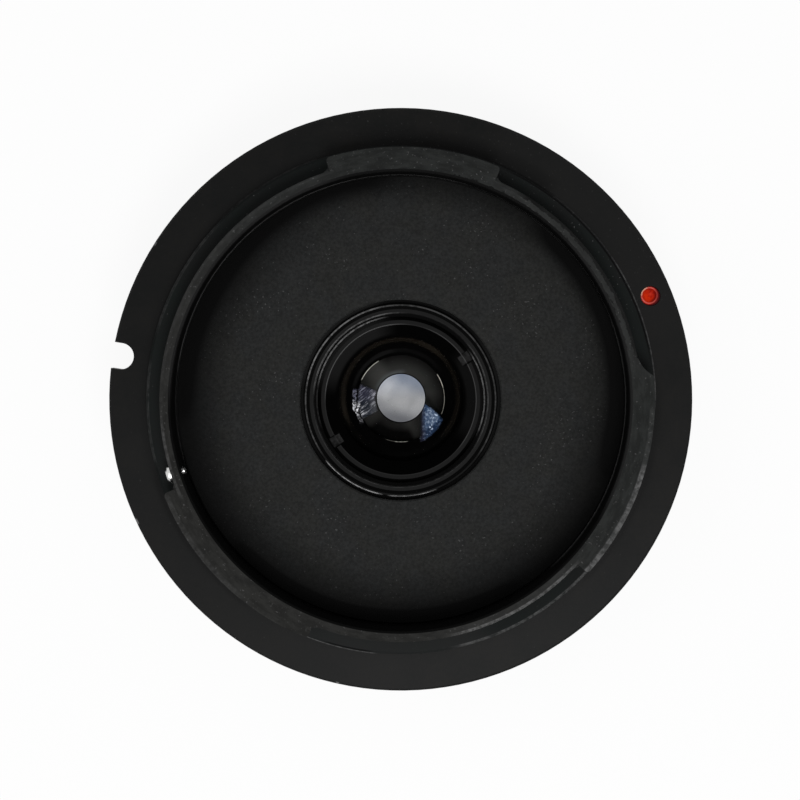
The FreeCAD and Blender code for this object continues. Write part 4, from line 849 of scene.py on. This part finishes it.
def rearGlassFinish():
    # the rear glass: painted reflections in dust and scratches, as an amber ring near its rim, a
    # speckled blue wedge, and a pale patch whose scratches run up to the right and end in a bright, broken
    # rim
    f, v = finish("rearGlass"), rearGlass
    x, y = f.parts[:2]
    r = f.radius
    ragged = v["raggedDepth"] * (f.noise(*v["ragged"]) - 0.5)
    fine = f.patches(*v["fine"])
    sparks = f.patches(*v["sparks"])

    # the blue wedge: a painted reflection in speckled dust
    widening, stretch = v["wedgeSlant"]
    slanted = f.around(v["wedgeTurn"]) + widening * ((r - v["edge"]) / stretch) + 16 * ragged
    wedge = f.fall(slanted, *v["wedgeWidth"]) * f.rise(x + ragged, *v["wedgeLeft"])
    wedge = wedge * f.rise(r, *v["wedgeStart"]) * f.fall(r + 0.4 * ragged, *v["wedgeEnd"])
    deep = f.rise(r - 0.4 * ragged - 0.02 * slanted, *v["deepEdge"])
    left = f.fall(x + ragged, *v["violetEdge"])
    crest = f.band(r + 0.02 * slanted, *v["crestBand"])
    glow = f.band(r + ragged, *v["glowBand"]) * f.rise(slanted, *v["glowTurn"])
    sparkle = fine * (0.24 + 0.20 * glow - 0.20 * deep) * (1 - 0.6 * left)
    sparkle = sparkle + sparks * (0.06 + 0.85 * crest) + 0.06 * glow
    blue = f.tint(deep, v["blue"], v["blueDeep"])
    blue = f.tint(left, blue, v["violet"])
    blue = f.tint(sparkle.least(1.0), blue, v["blueSpark"])
    wedge = wedge * (1 - 0.25 * left)

    # the pale patch: a painted reflection in scratches, ending in a bright, broken rim of painted glints
    turn = f.around(v["patchTurn"])
    drawn = f.noise(*v["scratches"], place=f.drawnOut(*v["scratchesDrawn"]))
    streaks = f.rise(drawn + 0.5 * ragged, *v["scratchEdge"])
    patch = f.band(turn + 8 * ragged, *v["patchTurns"]) * f.rise(r + ragged, *v["patchStart"])
    patch = patch * f.fall(r + ragged, *v["patchEnd"]) * (0.5 + 0.45 * streaks)
    gaps = f.patches(*v["gaps"])
    rim = f.band(r + 0.9 * ragged, *v["rimBand"]) * f.band(turn, *v["rimTurns"]) * (0.10 + 0.90 * gaps)
    hook = r + v["hook"] * f.fall(turn, *v["hookTurn"]) + 0.8 * ragged
    spine = f.band(hook, *v["spineBand"]) * f.band(turn, *v["spineTurns"]) * (0.15 + 0.85 * gaps)
    spine = spine * (1 - 0.5 * f.rise(turn, *v["spineFade"]))
    whiter = f.rise(turn, *v["whiterTurn"]) * f.rise(r, *v["whiterEdge"])
    glint = streaks * (0.16 + 0.40 * whiter) + rim * (0.06 + 0.6 * f.rise(turn, *v["rimWhiter"]))
    glint = glint + spine * 0.8 + 0.14 * f.fall(r, *v["innerGlint"])
    pale = f.tint(f.fall(turn, *v["lavenderTurn"]), v["pale"], v["lavender"])
    pale = f.tint(glint.least(1.0), pale, v["paleSpark"])
    patch = patch.most(rim).most(spine)

    # the amber ring and its skirt: a painted reflection, stronger at some sides
    haloX, haloY = x - v["haloMiddle"][0], y - v["haloMiddle"][1]
    out = (haloX * haloX + haloY * haloY) ** 0.5
    skirt = v["skirtShare"] * f.band(out, *v["skirtBand"]) * f.arcs(v["skirtArcs"])
    halo = (f.band(out, *v["haloBand"]) * (f.arcs(v["haloArcs"]) + v["haloShare"])).most(skirt)
    base = f.tint(halo.least(1.0), v["clearTone"], v["amber"])
    base = f.tint(wedge, base, blue)
    base = f.tint(patch, base, pale)
    gloss = f.node("ShaderNodeFresnel", inputs={"IOR": glass["bending"]})
    seen = (v["glossShare"] * gloss - v["glossLeast"]).most(v["haloSeen"] * halo)
    return f.done(f.surface(
        Base_Color=base,
        Roughness=v["roughness"],
        Specular_IOR_Level=v["gloss"],
        Alpha=seen.most(wedge * v["wedgeSeen"]).most(patch * v["patchSeen"]),
    ))


finishes = {slot: plainFinish(slot) for slot in plain}
finishes.update({slot: metalFinish(slot) for slot in metals})
finishes["anodised_mount"] = mountFinish()
finishes["blasted_plate"] = plateFinish()
finishes["black_cell"] = cellFinish()
finishes["black_barrel"] = barrelFinish()
finishes["anodised_housing"] = housingFinish()
finishes["red_enamel"] = enamelFinish()
finishes["optical_glass"] = glassFinish()
special = {
    "rear_element": rearGlassFinish(),
    "front_element": hazyFinish(),
    "second_element": clearFinish(),
    "rear_retaining_ring": ringFinish(),
    "rear_spacer": spacerFinish(),
    "stop_ring": stopFinish(),
}
for row in frame["record"]["subparts"]:
    name = row["node"]
    nodes[name].material_slots[0].material = special.get(name, finishes[row["material_slot"]])
print("materials made:", len(finishes) + len(special))


scale = {
    "distances": (("∞", math.inf), ("3", 3000), ("1.5", 1500), ("1", 1000), ("0.7", 700), ("0.55", 550)),
    "focal": 35.0, "lead": 9.6,  # mm, and mm of cell travel a turn
    "index": 45.0,  # degrees
    "radius": 16.0, "height": 1.5, "paint": 0.02,
    "line": (18.0, 20.6), "lineWidth": 0.24, "lineSteps": 24,
    "tone": 205, "wornTone": 160, "wear": (0.25, 4.0, 0.7, 0.55, 0.75), "wearDepth": 0.004,
    "roughness": 0.55, "gloss": 0.2,
}


def paintFinish():
    # white paint that has thinned in small spots
    f, v = finish("markPaint"), scale
    wear = f.patches(*v["wear"])
    return f.done(f.surface(
        Base_Color=f.tint(wear, grey(v["tone"]), grey(v["wornTone"])),
        Roughness=v["roughness"],
        Specular_IOR_Level=v["gloss"],
        Normal=f.bump(wear, v["wearDepth"]),
    ))


def newPiece(name, spots, faces, material, body):
    # a piece from its corners, given in millimetres
    data = bpy.data.meshes.new(name)
    data.from_pydata((spots * mm).tolist(), [], faces)
    data.materials.append(material)
    piece = bpy.data.objects.new(name, data)
    bpy.context.scene.collection.objects.link(piece)
    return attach(piece, body)


def wordMesh(text, height):
    # a number as a thin solid in its own plane, centred on its origin
    curve = bpy.data.curves.new("number", "FONT")
    curve.body, curve.size, curve.extrude = text, height, 0.5 * scale["paint"]
    curve.align_x, curve.align_y = "CENTER", "CENTER"
    holder = bpy.data.objects.new("number", curve)
    mesh = bpy.data.meshes.new_from_object(holder)
    spots = np.empty(len(mesh.vertices) * 3)
    mesh.vertices.foreach_get("co", spots)
    faces = [tuple(face.vertices) for face in mesh.polygons]
    bpy.data.objects.remove(holder)
    bpy.data.meshes.remove(mesh)
    return spots.reshape(-1, 3), faces


def outAndOn(turn):
    # the direction out from the axis at that angle, and the one a quarter turn on from it
    c, s = math.cos(turn), math.sin(turn)
    return np.array((c, s, 0)), np.array((-s, c, 0))


def distanceNumbers():
    # each number lies on the lever ring where turning the lever to that distance brings it to the
    # index; up is outward and right is a quarter turn on, so it reads from the front
    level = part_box("lever_ring")[0].z / mm
    allSpots, allFaces, count = [], [], 0
    for text, distance in scale["distances"]:
        travel = scale["focal"] ** 2 / (distance - scale["focal"])
        up, right = outAndOn(math.radians(scale["index"] - 360 * travel / scale["lead"]))
        spots, faces = wordMesh(text, scale["height"])
        centre = up * scale["radius"] + np.array((0, 0, level))
        allSpots.append(centre + spots @ np.array((right, up, (0, 0, -1))))
        allFaces += [tuple(i + count for i in face) for face in faces]
        count += len(spots)
    return newPiece("distanceNumbers", np.vstack(allSpots), allFaces, markPaint, "focus_ring")


def indexLine():
    # a short bar on the scale plate, outside the lever ring: its outline is a half circle round each
    # end of the line, and the same outline one coat of paint higher closes it
    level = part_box("scale_plate")[0].z / mm
    up, right = outAndOn(math.radians(scale["index"]))
    start, end = scale["line"]
    half, count = 0.5 * scale["lineWidth"], scale["lineSteps"]
    sweep = np.linspace(-0.5 * np.pi, 0.5 * np.pi, count // 2)
    along = np.concatenate((end - half + half * np.cos(sweep), start + half - half * np.cos(sweep)))
    across = np.concatenate((half * np.sin(sweep), -half * np.sin(sweep)))
    outline = np.outer(along, up) + np.outer(across, right) + np.array((0, 0, level))
    coat = np.array((0, 0, 0.5 * scale["paint"]))
    spots = np.vstack((outline - coat, outline + coat))
    below, above = tuple(range(count)), tuple(range(count, 2 * count))
    faces = [below[::-1], above]
    faces += [(i, (i + 1) % count, (i + 1) % count + count, i + count) for i in range(count)]
    return newPiece("indexLine", spots, faces, markPaint, "housing")


markPaint = paintFinish()
distanceNumbers()
indexLine()
print("distance numbers and index line laid")


stage = {
    "floorHeight": cadBox[0][2],
    "floorSize": 3.0,
    "floorShade": (0.86, 0.86, 0.86), "floorRoughness": 0.9, "floorGloss": 0.1,
    "worldLight": 0.4,
    "shadowShare": 0.09,
}


def seenDirectly(f):
    # 1 for rays from the camera, and for those that gloss or glass sends on
    def kind(name):
        return f.node("ShaderNodeLightPath", output=name)
    return kind("Is Camera Ray").most(kind("Is Glossy Ray")).most(kind("Is Transmission Ray"))


def floorFinish():
    # pale paper that takes light, mixed with plain white for rays that see it directly
    f = finish("paleFloor")
    paper = f.surface(
        Base_Color=stage["floorShade"],
        Roughness=stage["floorRoughness"],
        Specular_IOR_Level=stage["floorGloss"],
    )
    white = f.node("ShaderNodeEmission", inputs={"Color": (1, 1, 1, 1), "Strength": 1.0})
    share = seenDirectly(f) * (1 - stage["shadowShare"])
    return f.done(f.node("ShaderNodeMixShader", inputs={0: share, 1: paper, 2: white}))


half = stage["floorSize"] / 2
corners = np.array([(-half, -half), (half, -half), (half, half), (-half, half)])
heights = np.full((4, 1), stage["floorHeight"])
data = bpy.data.meshes.new("floor")
data.from_pydata(np.hstack([corners, heights]).tolist(), [], [(0, 1, 2, 3)])
data.materials.append(floorFinish())
floor = bpy.data.objects.new("floor", data)
bpy.context.scene.collection.objects.link(floor)

world = bpy.data.worlds.new("studio")
bpy.context.scene.world = world
air = Finish(world, "ShaderNodeOutputWorld")
seen = seenDirectly(air)
strength = seen + (1 - seen) * stage["worldLight"]
air.done(air.node("ShaderNodeBackground", inputs={"Color": (1, 1, 1, 1), "Strength": strength}))

lamps = {
    # direction (degrees, 0 is +X), height (degrees), distance (m), size (m), power (W)
    "keyLamp": (-75, 71, 0.45, 0.16, 1.15),
    "fillLamp": (180, 62, 0.50, 0.30, 0.35),
}
for name, (turn, rise, away, size, power) in lamps.items():
    lamp = bpy.data.lights.new(name, "AREA")
    lamp.shape, lamp.size, lamp.energy = "SQUARE", size, power
    holder = bpy.data.objects.new(name, lamp)
    turn, rise = math.radians(turn), math.radians(rise)
    spot = Vector((math.cos(turn) * math.cos(rise), math.sin(turn) * math.cos(rise), math.sin(rise)))
    holder.location = spot * away
    holder.rotation_euler = spot.to_track_quat("Z", "Y").to_euler()
    bpy.context.scene.collection.objects.link(holder)

view = {
    # where the camera is and what it looks at, and how near it sees, in metres; lens and sensor in mm
    "spot": (0.00152, 0.00731, 0.22988), "aim": (-0.000050, 0.000059, 0),
    "lens": 97.29, "sensor": 36, "nearest": 0.01,
}
camera = bpy.data.objects.new("camera", bpy.data.cameras.new("camera"))
camera.data.lens, camera.data.sensor_width = view["lens"], view["sensor"]
camera.data.clip_start = view["nearest"]
camera.location = view["spot"]
back = (Vector(view["spot"]) - Vector(view["aim"])).normalized()
side = Vector((0, 1, 0)).cross(back).normalized()
camera.rotation_euler = Matrix((side, back.cross(side), back)).transposed().to_euler()
bpy.context.scene.collection.objects.link(camera)
bpy.context.scene.camera = camera
bpy.context.scene.view_settings.view_transform = "Standard"
print("stage, lamps and camera set")
